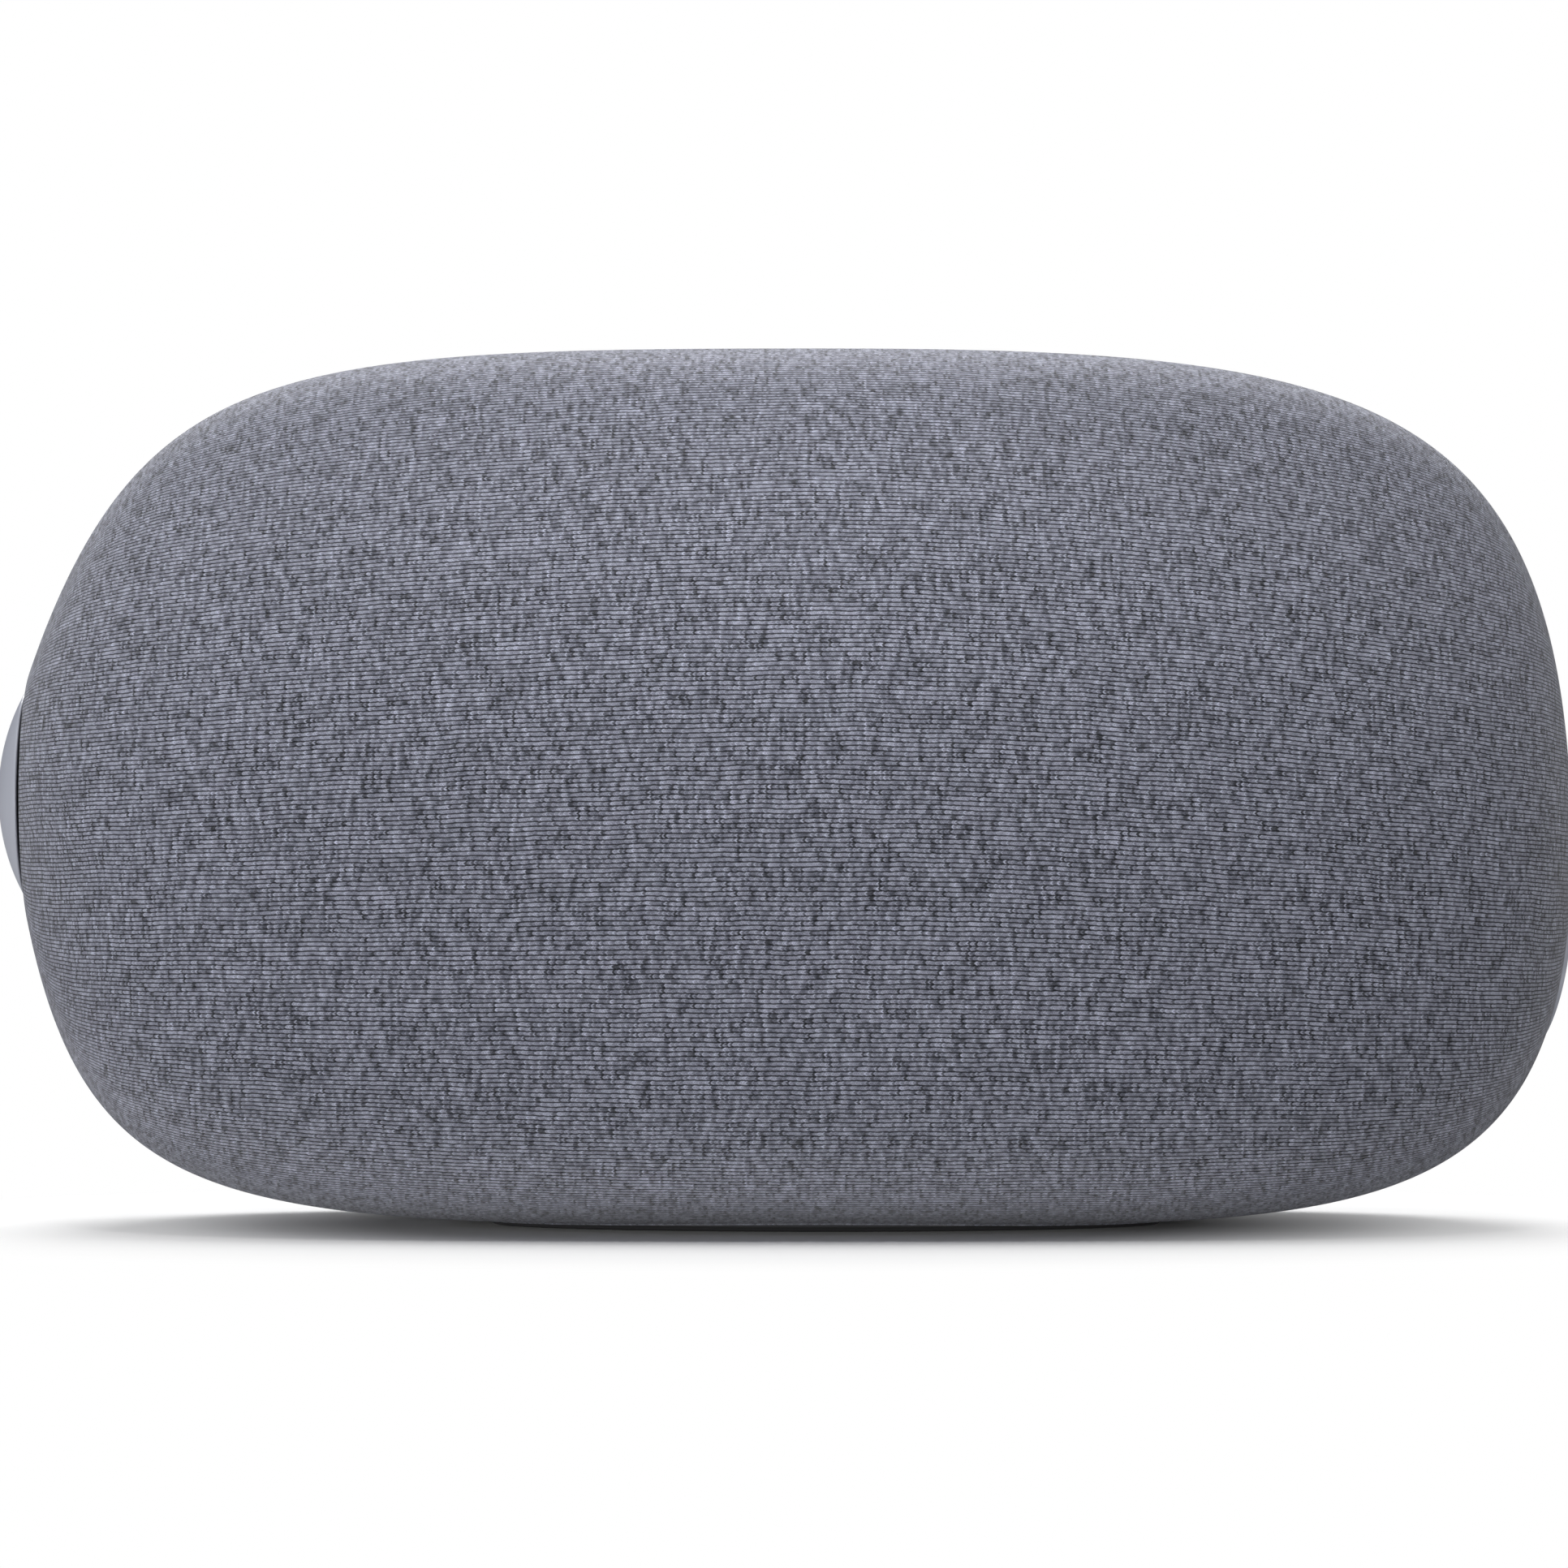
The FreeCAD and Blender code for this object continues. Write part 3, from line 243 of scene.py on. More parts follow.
def knit_material():
    """Heather jersey: ribs along the body, V stitches pointing at the dial, and mixed yarn across the ribs, with
    painted shade in the gaps between ribs and stitch legs.
    The UV map counts stitches along a rib, and ribs."""
    g = Graph("heather_knit")
    along, rib, _ = g.split(g.uv("knit"))
    cloth = g.combine(along, rib)
    wander = g.math("SUBTRACT", g.noise(0.035, cloth, 2.0), 0.5)
    tremble = g.math("SUBTRACT", g.noise(0.55, cloth, 2.0), 0.5)
    jitter = g.math("SUBTRACT", g.noise(0.9, g.combine(rib, along, 5.0), 1.0), 0.5)
    rib = g.math("ADD", rib, g.math("ADD", g.math("MULTIPLY", wander, 0.9), g.math("MULTIPLY", tremble, 0.42)))
    along = g.math("ADD", along, g.math("MULTIPLY", jitter, 1.0))
    rib_number = g.math("FLOOR", rib)
    side = g.math("SUBTRACT", g.math("FRACT", rib), 0.5)
    off_centre = g.math("ABSOLUTE", side)
    phase = g.math("SUBTRACT", along, g.math("MULTIPLY", off_centre, 2.3))
    stitch_number = g.math("FLOOR", phase)
    across_leg = g.math("ABSOLUTE", g.math("SUBTRACT", g.math("FRACT", phase), 0.5))
    single = g.speckle(g.combine(stitch_number, rib_number, g.math("SIGN", side)))
    loop = g.speckle(g.combine(stitch_number, rib_number, 7.0))
    leg = g.ramp(across_leg, 0.16, 0.5, 1.0, 0.0)
    gap_width = g.math("MULTIPLY_ADD", loop, 0.14, 0.13)
    rounded = g.ramp(off_centre, gap_width, 0.47, 1.0, 0.0)
    crease = g.ramp(off_centre, 0.0, 0.12, 0.70, 1.0)
    height = g.math("MULTIPLY", g.math("MULTIPLY", rounded, crease), g.math("MULTIPLY_ADD", leg, 0.64, 0.36))

    # Mixed yarn: each course is one length of yarn, so its dark and pale stretches run across the ribs.
    course = g.math("MULTIPLY", stitch_number, 0.42)
    drift = g.noise(1.0, g.combine(course, g.math("MULTIPLY", rib_number, 0.17), 3.1), 3.0, 0.62)
    grain = g.noise(1.0, g.combine(g.math("MULTIPLY", stitch_number, 0.9), g.math("MULTIPLY", rib_number, 0.5), 9.7),
                    2.0, 0.7)
    pale = g.math("ADD", g.ramp(drift, 0.34, 0.70, 0.0, 0.46), g.ramp(grain, 0.30, 0.74, 0.0, 0.44))
    pale = g.math("ADD", pale, g.math("MULTIPLY_ADD", single, 0.24, -0.12))
    pale = g.math("ADD", pale, g.math("MULTIPLY_ADD", loop, 0.28, -0.12), clamp=True)
    fleck = g.math("MULTIPLY", g.ramp(grain, 0.46, 0.34, 0.0, 1.0), g.ramp(drift, 0.60, 0.44, 0.0, 1.0))
    yarn = g.mix(pale, srgb(81, 84, 97), srgb(202, 205, 226))
    yarn = g.mix(g.math("MULTIPLY", fleck, 0.72), yarn, srgb(40, 41, 44))
    # Painted shade: the yarn colour is multiplied down to a tenth where the relief is low, in the gaps between ribs,
    # down each rib's crease and between stitch legs.
    shade = g.ramp(height, 0.0, 0.80, 0.10, 1.0)
    colour = g.mix(1.0, yarn, g.combine(shade, shade, shade), "MULTIPLY")
    fibre = g.noise(5.0, g.combine(g.math("MULTIPLY", along, 0.6), g.math("MULTIPLY", rib, 1.6)), 3.0, 0.7)
    relief = g.math("MULTIPLY_ADD", fibre, 0.10, height)
    g.bump(relief, 0.00020, 0.85)
    return g.set(colour=colour, rough=0.92, sheen=0.35, sheen_rough=0.45, specular=0.2)


def moulded(name, colour, rough, grain=0.00003, speckle=0.06, coarse=4000.0):
    """Moulded plastic or rubber with a fine spark-eroded texture and faint wear."""
    g = Graph(name)
    fine = g.noise(coarse, detail=2.0)
    broad = g.noise(60.0, detail=4.0)
    tone = g.math("ADD", g.math("MULTIPLY", g.math("SUBTRACT", fine, 0.5), speckle),
                  g.math("MULTIPLY", g.math("SUBTRACT", broad, 0.5), speckle * 0.7))
    dark = tuple(v * 0.80 for v in colour)
    pale = tuple(min(1.0, v * 1.20) for v in colour)
    g.bump(fine, grain, 0.6)
    return g.set(colour=g.mix(g.math("ADD", tone, 0.5, clamp=True), dark, pale),
                 rough=g.math("MULTIPLY_ADD", broad, 0.16, rough - 0.08))


def metal(name, colour, rough):
    """Plated or rolled metal with fine drawn lines across its height."""
    g = Graph(name)
    x, y, z = g.split(g.place())
    lines = g.noise(600.0, g.combine(x, y, g.math("MULTIPLY", z, 30.0)), 3.0)
    stain = g.noise(90.0, detail=4.0)
    dark = tuple(v * 0.75 for v in colour)
    g.bump(lines, 0.00001, 0.5)
    return g.set(colour=g.mix(g.ramp(stain, 0.3, 0.7), dark, colour), metal=1.0,
                 rough=g.math("MULTIPLY_ADD", lines, 0.25, rough - 0.12))


def woven(name, colour, pitch=0.0006):
    """A fine woven or resin-dipped cloth, its colour darkened between the threads as painted shade."""
    g = Graph(name)
    x, _, z = g.split(g.place())
    warp = g.math("ABSOLUTE", g.math("SINE", g.math("MULTIPLY", x, math.pi / pitch)))
    weft = g.math("ABSOLUTE", g.math("SINE", g.math("MULTIPLY", z, math.pi / pitch)))
    cloth = g.math("MULTIPLY", warp, weft)
    # Painted shade: the colour darkens between the threads, where the weave dips, and is near full on the threads.
    dark = tuple(v * 0.5 for v in colour)
    g.bump(cloth, 0.0001, 0.6)
    return g.set(colour=g.mix(g.math("MULTIPLY_ADD", cloth, 0.6, 0.3), dark, colour), rough=0.85)


def circuit_board():
    """Solder mask over copper tracks, with tinned pads."""
    g = Graph("circuit_board")
    x, y, z = g.split(g.place())
    cells = g.combine(g.math("SNAP", x, 0.0012), g.math("SNAP", y, 0.0012), g.math("SNAP", z, 0.0012))
    tracks = g.ramp(g.speckle(cells), 0.66, 0.70)
    soft = g.noise(300.0, detail=4.0)
    green = g.mix(tracks, srgb(12, 58, 40), srgb(24, 88, 60))
    pads = g.ramp(g.noise(420.0, detail=0.0), 0.70, 0.72)
    g.bump(tracks, 0.00003, 0.5)
    return g.set(colour=g.mix(pads, green, srgb(190, 188, 180)), rough=g.math("MULTIPLY_ADD", soft, 0.2, 0.25))


def winding():
    """Enamelled copper wire wound round a former, whose axis is Y."""
    g = Graph("copper_winding")
    y = g.split(g.place())[1]
    turns = g.math("ABSOLUTE", g.math("SINE", g.math("MULTIPLY", y, math.pi / 0.00025)))
    tone = g.noise(400.0, detail=3.0)
    g.bump(turns, 0.00005, 0.8)
    return g.set(colour=g.mix(tone, srgb(150, 72, 38), srgb(206, 118, 70)), metal=0.9, rough=0.32)


def pulp():
    """Pressed paper pulp with fibres."""
    g = Graph("paper_pulp")
    fibres = g.noise(700.0, detail=6.0, roughness=0.75, distortion=1.5)
    g.bump(fibres, 0.00008, 0.8)
    return g.set(colour=g.mix(g.ramp(fibres, 0.35, 0.7), srgb(40, 40, 42), srgb(84, 83, 84)), rough=0.8)


def lens():
    """Cloudy clear plastic over the status light."""
    g = Graph("status_lens_plastic")
    cloud = g.noise(900.0, detail=3.0)
    return g.set(colour=g.mix(cloud, srgb(200, 204, 208), srgb(226, 229, 232)), rough=0.28, coat=0.4)


KNIT = knit_material()
LOOKS = {
    "casing": moulded("casing_plastic", srgb(56, 57, 60), 0.55),
    "dark_plastic": moulded("dark_satin_plastic", srgb(40, 40, 44), 0.5),
    "light_plastic": moulded("light_grey_plastic", srgb(168, 171, 182), 0.42, 0.00002, 0.10),
    "button_plastic": moulded("button_grey_plastic", srgb(146, 149, 160), 0.4, 0.00002, 0.10),
    "lens_plastic": lens(),
    "rubber": moulded("soft_rubber", srgb(38, 38, 40), 0.8, 0.00005, 0.08, 2500.0),
    "steel": metal("zinc_plated_steel", (0.62, 0.62, 0.60), 0.34),
    "ferrite": moulded("sintered_ferrite", srgb(62, 61, 62), 0.6, 0.00008, 0.2, 1500.0),
    "copper": winding(),
    "paper": pulp(),
    "silk": woven("coated_silk", srgb(70, 70, 76), 0.0003),
    "spider_cloth": woven("dipped_cotton", srgb(196, 160, 96)),
    "circuit_board": circuit_board(),
    "aluminium": metal("extruded_aluminium", (0.80, 0.80, 0.82), 0.38),
    "cell_wrap": moulded("cell_wrap", srgb(46, 92, 150), 0.3, 0.00001, 0.05),
}

SLOT_OF = {part["node"]: part["material_slot"] for part in frame["record"]["subparts"]}
for node, piece in frame["nodes"].items():
    look = LOOKS.get(SLOT_OF[node])
    if look is not None:
        piece.data.materials.clear()
        piece.data.materials.append(look)

# ---------------------------------------------------------------- the body's form

CROWN_X, TIP_X, END_X = 8.0, 150.0, -144.6
CROWN_Z, BELLY_Z, WIDEST_Z, HALF_DEPTH = 167.3, 1.0, 60.0, 65.0
DIAL_Z, END_RADIUS, TIP_Z = 82.0, 21.2, 72.0
HALF_HEIGHT = (CROWN_Z - BELLY_Z) / 2
SQUARE_BELOW = 1.8                  # how much squarer the section is below its widest line
HALVINGS = 50                       # for finding a station on a curve

# Each outline is a cubic curve from the crown to an end, given by four control values along X and then four for the
# height or half depth.
LEFT = {
    "top": ((CROWN_X, -98.4, -123.7, END_X), (CROWN_Z, CROWN_Z, 165.4, DIAL_Z + END_RADIUS)),
    "low": ((CROWN_X, -104.1, -133.7, END_X), (BELLY_Z, BELLY_Z, 0.1, DIAL_Z - END_RADIUS)),
    "deep": ((CROWN_X, -90.0, -132.0, END_X), (HALF_DEPTH, HALF_DEPTH, 60.0, END_RADIUS)),
}
RIGHT = {
    "top": ((CROWN_X, 112.6, TIP_X, TIP_X), (CROWN_Z, CROWN_Z, 158.7, TIP_Z)),
    "low": ((CROWN_X, 106.4, TIP_X, TIP_X), (BELLY_Z, BELLY_Z, -3.0, TIP_Z)),
    "deep": ((CROWN_X, 100.0, TIP_X, TIP_X), (HALF_DEPTH, HALF_DEPTH, 60.0, 0.0)),
}


def cubic(points, share):
    """A cubic curve through its first and last of four control values."""
    rest = 1 - share
    a, b, c, d = points
    return rest ** 3 * a + 3 * share * rest ** 2 * b + 3 * share ** 2 * rest * c + share ** 3 * d


def at_station(curve, x):
    """The curve's value where it passes a station along X."""
    along, values = curve
    low, high = 0.0, 1.0
    for _ in range(HALVINGS):
        share = (low + high) / 2
        if abs(cubic(along, share) - CROWN_X) < abs(x - CROWN_X):
            low = share
        else:
            high = share
    return cubic(values, (low + high) / 2)


def section(x, angles):
    """The body's section at a station, as an array of (x, y, z) in millimetres."""
    left = x < CROWN_X
    curves = LEFT if left else RIGHT
    top, low, deep = [at_station(curves[key], x) for key in ("top", "low", "deep")]
    smallest = END_RADIUS if left else 0.0
    fullness = max(0.0, ((top - low) / 2 - smallest) / (HALF_HEIGHT - smallest))
    end_z = DIAL_Z if left else TIP_Z
    widest = end_z + (WIDEST_Z - end_z) * fullness ** 1.5
    across, up = np.cos(angles), np.sin(angles)
    power = np.where(up < 0, 2 / (2 + SQUARE_BELOW * fullness ** 2), 1.0)
    reach = np.where(up > 0, top - widest, widest - low)
    y = deep * np.sign(across) * np.abs(across) ** power
    z = widest + reach * np.sign(up) * np.abs(up) ** power
    return np.stack([np.full_like(y, x), y, z], axis=1)


# ---------------------------------------------------------------- knit sleeve

RIB_PITCH = 0.885
STITCH_PITCH = 0.427
SEAM_ANGLE = math.radians(-32)      # the sewn seam runs along the low back edge
COLUMNS = 560
ROWS_A_SIDE = 150
FOLD_ROWS = 12
RECESS_RADIUS = 20.1
FOLD_X = END_X + 1.1                # where the cloth starts to turn into the dial's recess
RECESS_DEPTH = 3.0
KNIT_THICK = 1.15
LEFT_RIB_Z, RIGHT_RIB_Z = 46.0, 12.0    # where a rib runs level on each half of the front
END_TIGHTNESS, END_POWER = 0.13, 1.8    # how much closer the ribs lie at the ends, and how that builds up
CROWN_ROW = FOLD_ROWS + 1 + ROWS_A_SIDE
FINE_STEPS = 6000                   # for measuring the way round a section
INNER_EVERY = 6                     # the inner skin keeps one row in this many
TIP_GAP = 0.004                     # the last row stops just short of the tip, where the section shrinks to a point


def even_angles():
    """Angles that space the points evenly round the middle section, from seam to seam."""
    fine = SEAM_ANGLE + np.linspace(0, 2 * math.pi, FINE_STEPS + 1)
    ring = section(CROWN_X, fine)
    length = np.concatenate([[0], np.cumsum(np.linalg.norm(np.diff(ring, axis=0), axis=1))])
    return np.interp(np.linspace(0, length[-1], COLUMNS + 1), length, fine)


def sleeve_rows():
    """The outer surface as rows from inside the dial's recess to the right-hand tip."""
    angles = even_angles()
    stations = []
    for k in range(ROWS_A_SIDE + 1):
        stations.append(FOLD_X + (CROWN_X - FOLD_X) * (1 - math.cos(math.pi / 2 * k / ROWS_A_SIDE)))
    for k in range(1, ROWS_A_SIDE):
        stations.append(CROWN_X + (TIP_X - CROWN_X) * math.sin(math.pi / 2 * k / ROWS_A_SIDE))
    stations.append(TIP_X - TIP_GAP)
    body = [section(x, angles) for x in stations]
    first, second = body[0], body[3]
    middle = np.array([FOLD_X, 0.0, DIAL_Z])
    spokes = first - middle
    reach = np.linalg.norm(spokes, axis=1)
    spokes /= reach[:, None]
    slope = second - first
    lean = np.arctan2(slope[:, 0], (slope * spokes).sum(1))
    radius = (reach - RECESS_RADIUS) / (1 + np.sin(lean))
    fold = []
    for k in range(1, FOLD_ROWS + 1):
        turn = (math.pi / 2 + lean) * k / FOLD_ROWS
        out = reach - radius * (np.sin(turn - lean) + np.sin(lean))
        x = FOLD_X - radius * (np.cos(turn - lean) - np.cos(lean))
        fold.append(np.stack([x, out * spokes[:, 1], DIAL_Z + out * spokes[:, 2]], axis=1))
    floor = fold[-1].copy()
    floor[:, 0] += RECESS_DEPTH
    return [floor] + fold[::-1] + body


def knit_counts(rows):
    """Stitch and rib counts at each point, from distances over the cloth. Ribs are counted both ways from the
    front's widest line, and stitches both ways from the crown's section."""
    grid = np.array(rows)
    front = int(np.argmin(grid[CROWN_ROW, :, 1]))
    steps = np.linalg.norm(np.diff(grid, axis=0), axis=2)
    run = np.concatenate([np.zeros((1, grid.shape[1])), np.cumsum(steps, axis=0)])
    girth = np.linalg.norm(np.diff(grid, axis=1), axis=2)
    arc = np.concatenate([np.zeros((len(rows), 1)), np.cumsum(girth, axis=1)], axis=1)
    x = grid[:, front, 0]
    left = x < CROWN_X
    level = np.where(left, LEFT_RIB_Z, RIGHT_RIB_Z)
    span = np.abs(x - CROWN_X) / np.where(left, CROWN_X - END_X, TIP_X - CROWN_X)
    pitch = RIB_PITCH * (1 - END_TIGHTNESS * span ** END_POWER)
    at_front = (level - grid[:, front, 2]) / pitch - level / RIB_PITCH
    counts = np.zeros(grid.shape[:2] + (2,))
    counts[:, :, 0] = (run - run[CROWN_ROW]) / STITCH_PITCH
    counts[:, :, 1] = at_front[:, None] + (arc - arc[:, [front]]) / pitch[:, None]
    return counts


def closed_sleeve(rows, counts):
    """A closed skin: the outer rows, and inner rows behind them."""
    outer = np.array(rows)
    behind = outer[::INNER_EVERY]
    centre = np.array([(TIP_X + END_X) / 2, 0, (CROWN_Z + BELLY_Z) / 2])
    shrink = 1 - KNIT_THICK / np.array([(TIP_X - END_X) / 2, HALF_DEPTH, HALF_HEIGHT])
    first_kept = FOLD_ROWS // INNER_EVERY + 1
    inner = (centre + (behind - centre) * shrink)[first_kept:]
    mouth = outer[0].copy()
    spokes = mouth - np.array([0, 0, DIAL_Z])
    spokes[:, 0] = 0
    mouth += spokes / RECESS_RADIUS * KNIT_THICK
    mesh = bpy.data.meshes.new("knit_cover")
    bm = bmesh.new()
    layer = bm.loops.layers.uv.new("knit")

    def ring_verts(ring):
        made = [bm.verts.new(Vector(p) * MM) for p in ring[:-1]]
        return made + [made[0]]

    def bridge(a, b, uv_a, uv_b, flip=False):
        for j in range(COLUMNS):
            corners = [(a[j], uv_a[j]), (b[j], uv_b[j]), (b[j + 1], uv_b[j + 1]), (a[j + 1], uv_a[j + 1])]
            if flip:
                corners.reverse()
            face = bm.faces.new([c[0] for c in corners])
            face.smooth = True
            for loop, corner in zip(face.loops, corners):
                loop[layer].uv = corner[1]

    outer_rings = [ring_verts(r) for r in outer]
    inner_rings = [ring_verts(mouth)] + [ring_verts(r) for r in inner]
    for i in range(len(outer_rings) - 1):
        bridge(outer_rings[i], outer_rings[i + 1], counts[i], counts[i + 1], True)
    plain = np.zeros((COLUMNS + 1, 2))
    for i in range(len(inner_rings) - 1):
        bridge(inner_rings[i], inner_rings[i + 1], plain, plain)
    bridge(outer_rings[0], inner_rings[0], counts[0], counts[0])
    for ring, flip in ((outer_rings[-1], False), (inner_rings[-1], True)):
        corners = ring[:-1]
        face = bm.faces.new(corners[::-1] if flip else corners)
        face.smooth = True
        for loop in face.loops:
            loop[layer].uv = counts[-1][corners.index(loop.vert)]
    bmesh.ops.recalc_face_normals(bm, faces=bm.faces)
    bm.to_mesh(mesh)
    bm.free()
    piece = bpy.data.objects.new("knit_cover", mesh)
    SCENE.collection.objects.link(piece)
    mesh.materials.append(KNIT)
    return piece


# The port panel's axis is turned a little from +X towards the back.
PORT_TURN = math.radians(15)
PORT_OUT = Vector((math.cos(PORT_TURN), math.sin(PORT_TURN), 0))
PORT_ACROSS = Vector((-math.sin(PORT_TURN), math.cos(PORT_TURN), 0))
PORT_MIDDLE = PORT_ACROSS * -19.75 + Vector((0, 0, 46.5))
PORT_HALF_LENGTH, PORT_HALF_HEIGHT = 21.0, 12.5
BASE_HALF_LENGTH, BASE_HALF_WIDTH = 72.8, 30.8
HEM_ROOM = 0.75                     # the cover's openings stand this far outside the panel and the base
HEM_EDGE = 0.25                     # and the hems turn under this far outside them
PORT_START, PORT_CUT = 170, 60      # how far out the port's cutter starts, and how deep it goes
BASE_START, BASE_CUT = -20, 27


def port_outline(grow, count=160):
    """Points round the port panel, as (across, up), in millimetres."""
    points = []
    flat = PORT_HALF_LENGTH - PORT_HALF_HEIGHT
    radius = PORT_HALF_HEIGHT + grow
    for k in range(count):
        angle = 2 * math.pi * k / count
        shift = flat if math.cos(angle) > 0 else -flat
        points.append((shift + radius * math.cos(angle), radius * math.sin(angle)))
    return points


def base_outline(grow, count=200):
    """Points round the oval base, as (along, across), in millimetres."""
    return [((BASE_HALF_LENGTH + grow) * math.cos(2 * math.pi * k / count),
             (BASE_HALF_WIDTH + grow) * math.sin(2 * math.pi * k / count)) for k in range(count)]


def port_line(spot):
    """A point far out along the port's axis, and the way back in."""
    return PORT_MIDDLE + PORT_OUT * PORT_START + PORT_ACROSS * spot[0] + Vector((0, 0, spot[1])), -PORT_OUT


def base_line(spot):
    """A point below the base, and the way up."""
    return Vector((CROWN_X + spot[0], spot[1], BASE_START)), Vector((0, 0, 1))


def prism(name, outline, line, depth):
    """A closed cutter through an outline."""
    mesh = bpy.data.meshes.new(name)
    near, far = [], []
    for spot in outline:
        start, way = line(spot)
        near.append(start * MM)
        far.append((start + way * depth) * MM)
    count = len(outline)
    faces = [tuple(range(count)), tuple(range(2 * count - 1, count - 1, -1))]
    faces += [(j, j + count, (j + 1) % count + count, (j + 1) % count) for j in range(count)]
    mesh.from_pydata(near + far, [], faces)
    bm = bmesh.new()
    bm.from_mesh(mesh)
    bmesh.ops.recalc_face_normals(bm, faces=bm.faces)
    bm.to_mesh(mesh)
    bm.free()
    cutter = bpy.data.objects.new(name, mesh)
    SCENE.collection.objects.link(cutter)
    return cutter


def cut_out(piece, cutters):
    """Cuts each cutter's shape from a piece, then removes the cutters."""
    for cutter in cutters:
        step = piece.modifiers.new("cut", "BOOLEAN")
        step.operation = "DIFFERENCE"
        step.solver = "EXACT"
        step.object = cutter
    bpy.context.view_layer.update()
    made = bpy.data.meshes.new_from_object(piece.evaluated_get(bpy.context.evaluated_depsgraph_get()))
    piece.modifiers.clear()
    piece.data = made
    for cutter in cutters:
        bpy.data.objects.remove(cutter)


def surface_tree(rows):
    """The cover's outer surface beyond the fold, for finding where a line meets it."""
    outer = np.array(rows) * MM
    count = outer.shape[1]
    points = [Vector(p) for p in outer.reshape(-1, 3)]
    faces = []
    for i in range(FOLD_ROWS + 1, len(rows) - 1):
        for j in range(count - 1):
            faces.append((i * count + j, (i + 1) * count + j, (i + 1) * count + j + 1, i * count + j + 1))
    return BVHTree.FromPolygons(points, faces)


# Out from the opening's edge, and up from the cloth.
HEM_PROFILE = ((1.5, -0.12), (1.15, 0.10), (0.8, 0.24), (0.45, 0.20), (0.18, 0.02), (0.04, -0.28), (0.0, -0.7),
               (0.0, -1.6))


def hem(name, outline, line, tree):
    """A turned-under edge that follows an opening: out from the edge, and up from the cloth, in millimetres."""
    count = len(outline)
    spots = []
    for spot in outline:
        start, way = line(spot)
        hit, normal, _, _ = tree.ray_cast(start * MM, way)
        if normal.dot(way) > 0:
            normal = -normal
        spots.append((hit, normal))
    bm = bmesh.new()
    layer = bm.loops.layers.uv.new("knit")
    rings = []
    run = 0.0
    runs = []
    for j in range(count):
        hit, normal = spots[j]
        ahead = spots[(j + 1) % count][0] - spots[j - 1][0]
        outward = normal.cross(ahead).normalized()
        middle_way = hit - sum((s[0] for s in spots), Vector()) / count
        if outward.dot(middle_way) < 0:
            outward = -outward
        rings.append([bm.verts.new(hit + outward * out * MM + normal * up * MM) for out, up in HEM_PROFILE])
        runs.append(run)
        run += (spots[(j + 1) % count][0] - hit).length / MM
    runs.append(run)
    depth = [0.0]
    for a, b in zip(HEM_PROFILE, HEM_PROFILE[1:]):
        depth.append(depth[-1] + math.dist(a, b))
    for j in range(count):
        for k in range(len(HEM_PROFILE) - 1):
            corners = [(j, k), (j + 1, k), (j + 1, k + 1), (j, k + 1)]
            face = bm.faces.new([rings[a % count][b] for a, b in corners])
            face.smooth = True
            for loop, (a, b) in zip(face.loops, corners):
                loop[layer].uv = (runs[a] / STITCH_PITCH, depth[b] / RIB_PITCH)
    bmesh.ops.recalc_face_normals(bm, faces=bm.faces)
    mesh = bpy.data.meshes.new(name)
    bm.to_mesh(mesh)
    bm.free()
    mesh.materials.append(KNIT)
    piece = bpy.data.objects.new(name, mesh)
    SCENE.collection.objects.link(piece)
    return piece


sleeve_grid = sleeve_rows()
cover = closed_sleeve(sleeve_grid, knit_counts(sleeve_grid))
port_cutter = prism("port_cutter", port_outline(HEM_ROOM), port_line, PORT_CUT)
base_cutter = prism("base_cutter", base_outline(HEM_ROOM), base_line, BASE_CUT)
cut_out(cover, [port_cutter, base_cutter])
tree_of_cover = surface_tree(sleeve_grid)
port_hem = hem("port_hem", port_outline(HEM_EDGE), port_line, tree_of_cover)
base_hem = hem("base_hem", base_outline(HEM_EDGE), base_line, tree_of_cover)
for piece in (cover, port_hem, base_hem):
    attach(piece, "root")
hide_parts("knit_sleeve")

# ---------------------------------------------------------------- dial cap

CAP_CROWN_X, CAP_DOME, CAP_RADIUS, CAP_EDGE_X = -150.0, 40.4, 19.4, -144.75
SKIRT_RADIUS, SKIRT_END_X, CAP_WALL, CAP_ROUND = 18.2, -142.2, 1.6, 0.28
CAP_SEGMENTS, DOME_STEPS, ROUND_STEPS = 192, 40, 12
SKIRT_STEP = 0.2                    # how far the skirt's rim is chamfered, and how far it enters the cap


def dial_profile():
    """The cap's outline from its crown, over the rounded rim, and back under, as (x, radius)."""
    centre = CAP_CROWN_X + CAP_DOME
    inner = CAP_RADIUS - CAP_ROUND
    lean = math.asin(inner / (CAP_DOME - CAP_ROUND))
    points = []
    for k in range(DOME_STEPS + 1):
        angle = lean * k / DOME_STEPS
        points.append((centre - CAP_DOME * math.cos(angle), CAP_DOME * math.sin(angle)))
    middle_x = centre - (CAP_DOME - CAP_ROUND) * math.cos(lean)
    for k in range(1, ROUND_STEPS + 1):
        angle = lean + (math.pi - lean) * k / ROUND_STEPS
        points.append((middle_x - CAP_ROUND * math.cos(angle), inner + CAP_ROUND * math.sin(angle)))
    bore = SKIRT_RADIUS - CAP_WALL
    points.append((middle_x + CAP_ROUND, bore))
    hollow = CAP_DOME - CAP_WALL
    start = math.asin(bore / hollow)
    for k in range(ROUND_STEPS + 1):
        angle = start * (1 - k / ROUND_STEPS)
        points.append((centre - hollow * math.cos(angle), hollow * math.sin(angle)))
    return points


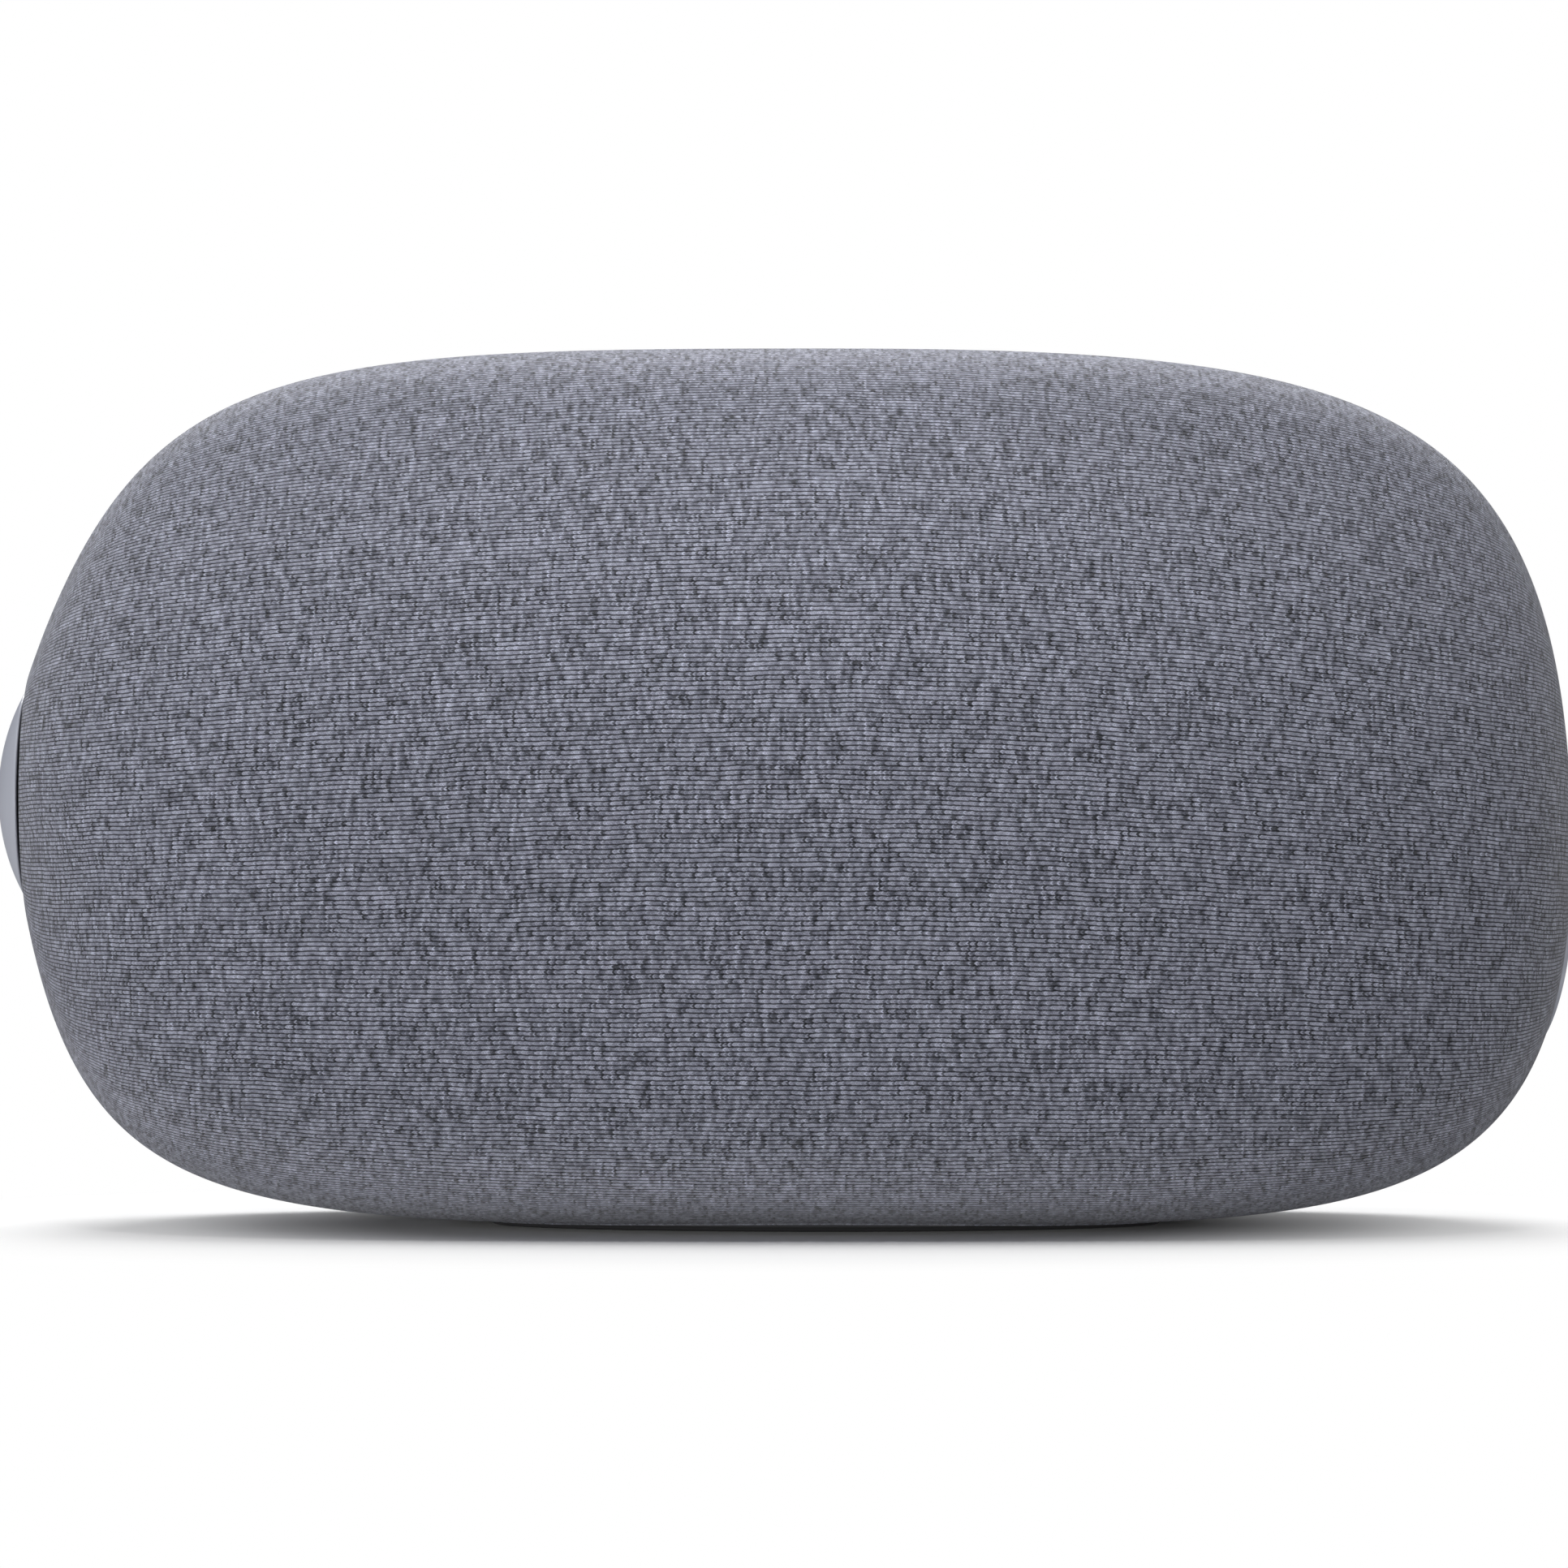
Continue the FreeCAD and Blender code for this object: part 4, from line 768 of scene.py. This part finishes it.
def skirt_profile():
    """The skirt that the cap turns on, as a closed outline. It is a real part drawn in dark plastic, and its dark
    colour is painted shade for the gap round the cap.
    """
    bore = SKIRT_RADIUS - CAP_WALL
    front = CAP_EDGE_X - SKIRT_STEP
    return [(front, bore), (front, SKIRT_RADIUS), (SKIRT_END_X - SKIRT_STEP, SKIRT_RADIUS),
            (SKIRT_END_X, SKIRT_RADIUS - SKIRT_STEP), (SKIRT_END_X, bore), (front, bore)]


def lathe(name, profile, segments, axis_z, material):
    """Turns a profile about a line along X."""
    bm = bmesh.new()
    rings = []
    for x, radius in profile:
        if radius < 1e-6:            # a point on the axis
            rings.append([bm.verts.new(Vector((x, 0, axis_z)) * MM)])
            continue
        rings.append([bm.verts.new(Vector((x, radius * math.cos(2 * math.pi * j / segments),
                                           axis_z + radius * math.sin(2 * math.pi * j / segments))) * MM)
                      for j in range(segments)])
    for a, b in zip(rings, rings[1:]):
        for j in range(segments):
            after = (j + 1) % segments
            corners = [a[j % len(a)], b[j % len(b)], b[after % len(b)], a[after % len(a)]]
            unique = list(dict.fromkeys(corners))
            bm.faces.new(unique).smooth = True
    bmesh.ops.recalc_face_normals(bm, faces=bm.faces)
    mesh = bpy.data.meshes.new(name)
    bm.to_mesh(mesh)
    bm.free()
    mesh.materials.append(material)
    piece = bpy.data.objects.new(name, mesh)
    SCENE.collection.objects.link(piece)
    return piece


cap = lathe("dial_cover", dial_profile(), CAP_SEGMENTS, DIAL_Z, LOOKS["light_plastic"])
# The skirt's dark plastic stands in for the shadow in the gap between the cap and the cloth: painted shade on a real
# part.
skirt = lathe("dial_skirt_painted_gap_shade", skirt_profile(), CAP_SEGMENTS, DIAL_Z, LOOKS["dark_plastic"])
for piece, slot in ((cap, "light_plastic"), (skirt, "dark_plastic")):
    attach(piece, "volume_dial")
    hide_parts("dial_cap")

# ---------------------------------------------------------------- floor

FLOOR_HALF = 6.0
FLOOR_DROP = 0.0001                 # under the body's lowest point
FADE_START, FADE_END = 0.045, 0.125     # distance from the middle over which the floor turns plain white
FADE_STRETCH = 1.6                  # the faded edge is an oval, this much longer along the body
SEEN_GLOW, BOUNCE_GLOW = 1.0, 0.28  # the glow that the camera sees, and what it gives to the object


def floor_material():
    """Pale matt floor near the object, where its shadow falls, turning into an even white further out."""
    g = Graph("pale_floor")
    cloud = g.noise(1.5, detail=2.0)
    g.set(colour=g.mix(cloud, (0.90, 0.90, 0.90), (0.93, 0.93, 0.93)), rough=0.9)
    x, y, _ = g.split(g.place())
    reach = g.math("SQRT", g.math("ADD", g.math("POWER", g.math("DIVIDE", x, FADE_STRETCH), 2.0),
                                  g.math("POWER", y, 2.0)))
    glow = g.tree.nodes.new("ShaderNodeEmission")
    seen_by_camera = g.tree.nodes.new("ShaderNodeLightPath").outputs["Is Camera Ray"]
    g.link(g.math("MULTIPLY_ADD", seen_by_camera, SEEN_GLOW - BOUNCE_GLOW, BOUNCE_GLOW), glow.inputs["Strength"])
    sweep = g.tree.nodes.new("ShaderNodeMixShader")
    g.link(g.ramp(reach, FADE_START, FADE_END), sweep.inputs[0])
    g.link(g.shader.outputs[0], sweep.inputs[1])
    g.link(glow.outputs[0], sweep.inputs[2])
    g.link(sweep.outputs[0], g.tree.nodes["Material Output"].inputs["Surface"])
    return g.material


floor_mesh = bpy.data.meshes.new("floor")
floor_corners = [(x * FLOOR_HALF, y * FLOOR_HALF, 0) for x, y in ((-1, -1), (1, -1), (1, 1), (-1, 1))]
floor_mesh.from_pydata(floor_corners, [], [(0, 1, 2, 3)])
floor_mesh.materials.append(floor_material())
floor = bpy.data.objects.new("floor", floor_mesh)
floor.location = (0, 0, float(LOW[2]) - FLOOR_DROP)
SCENE.collection.objects.link(floor)
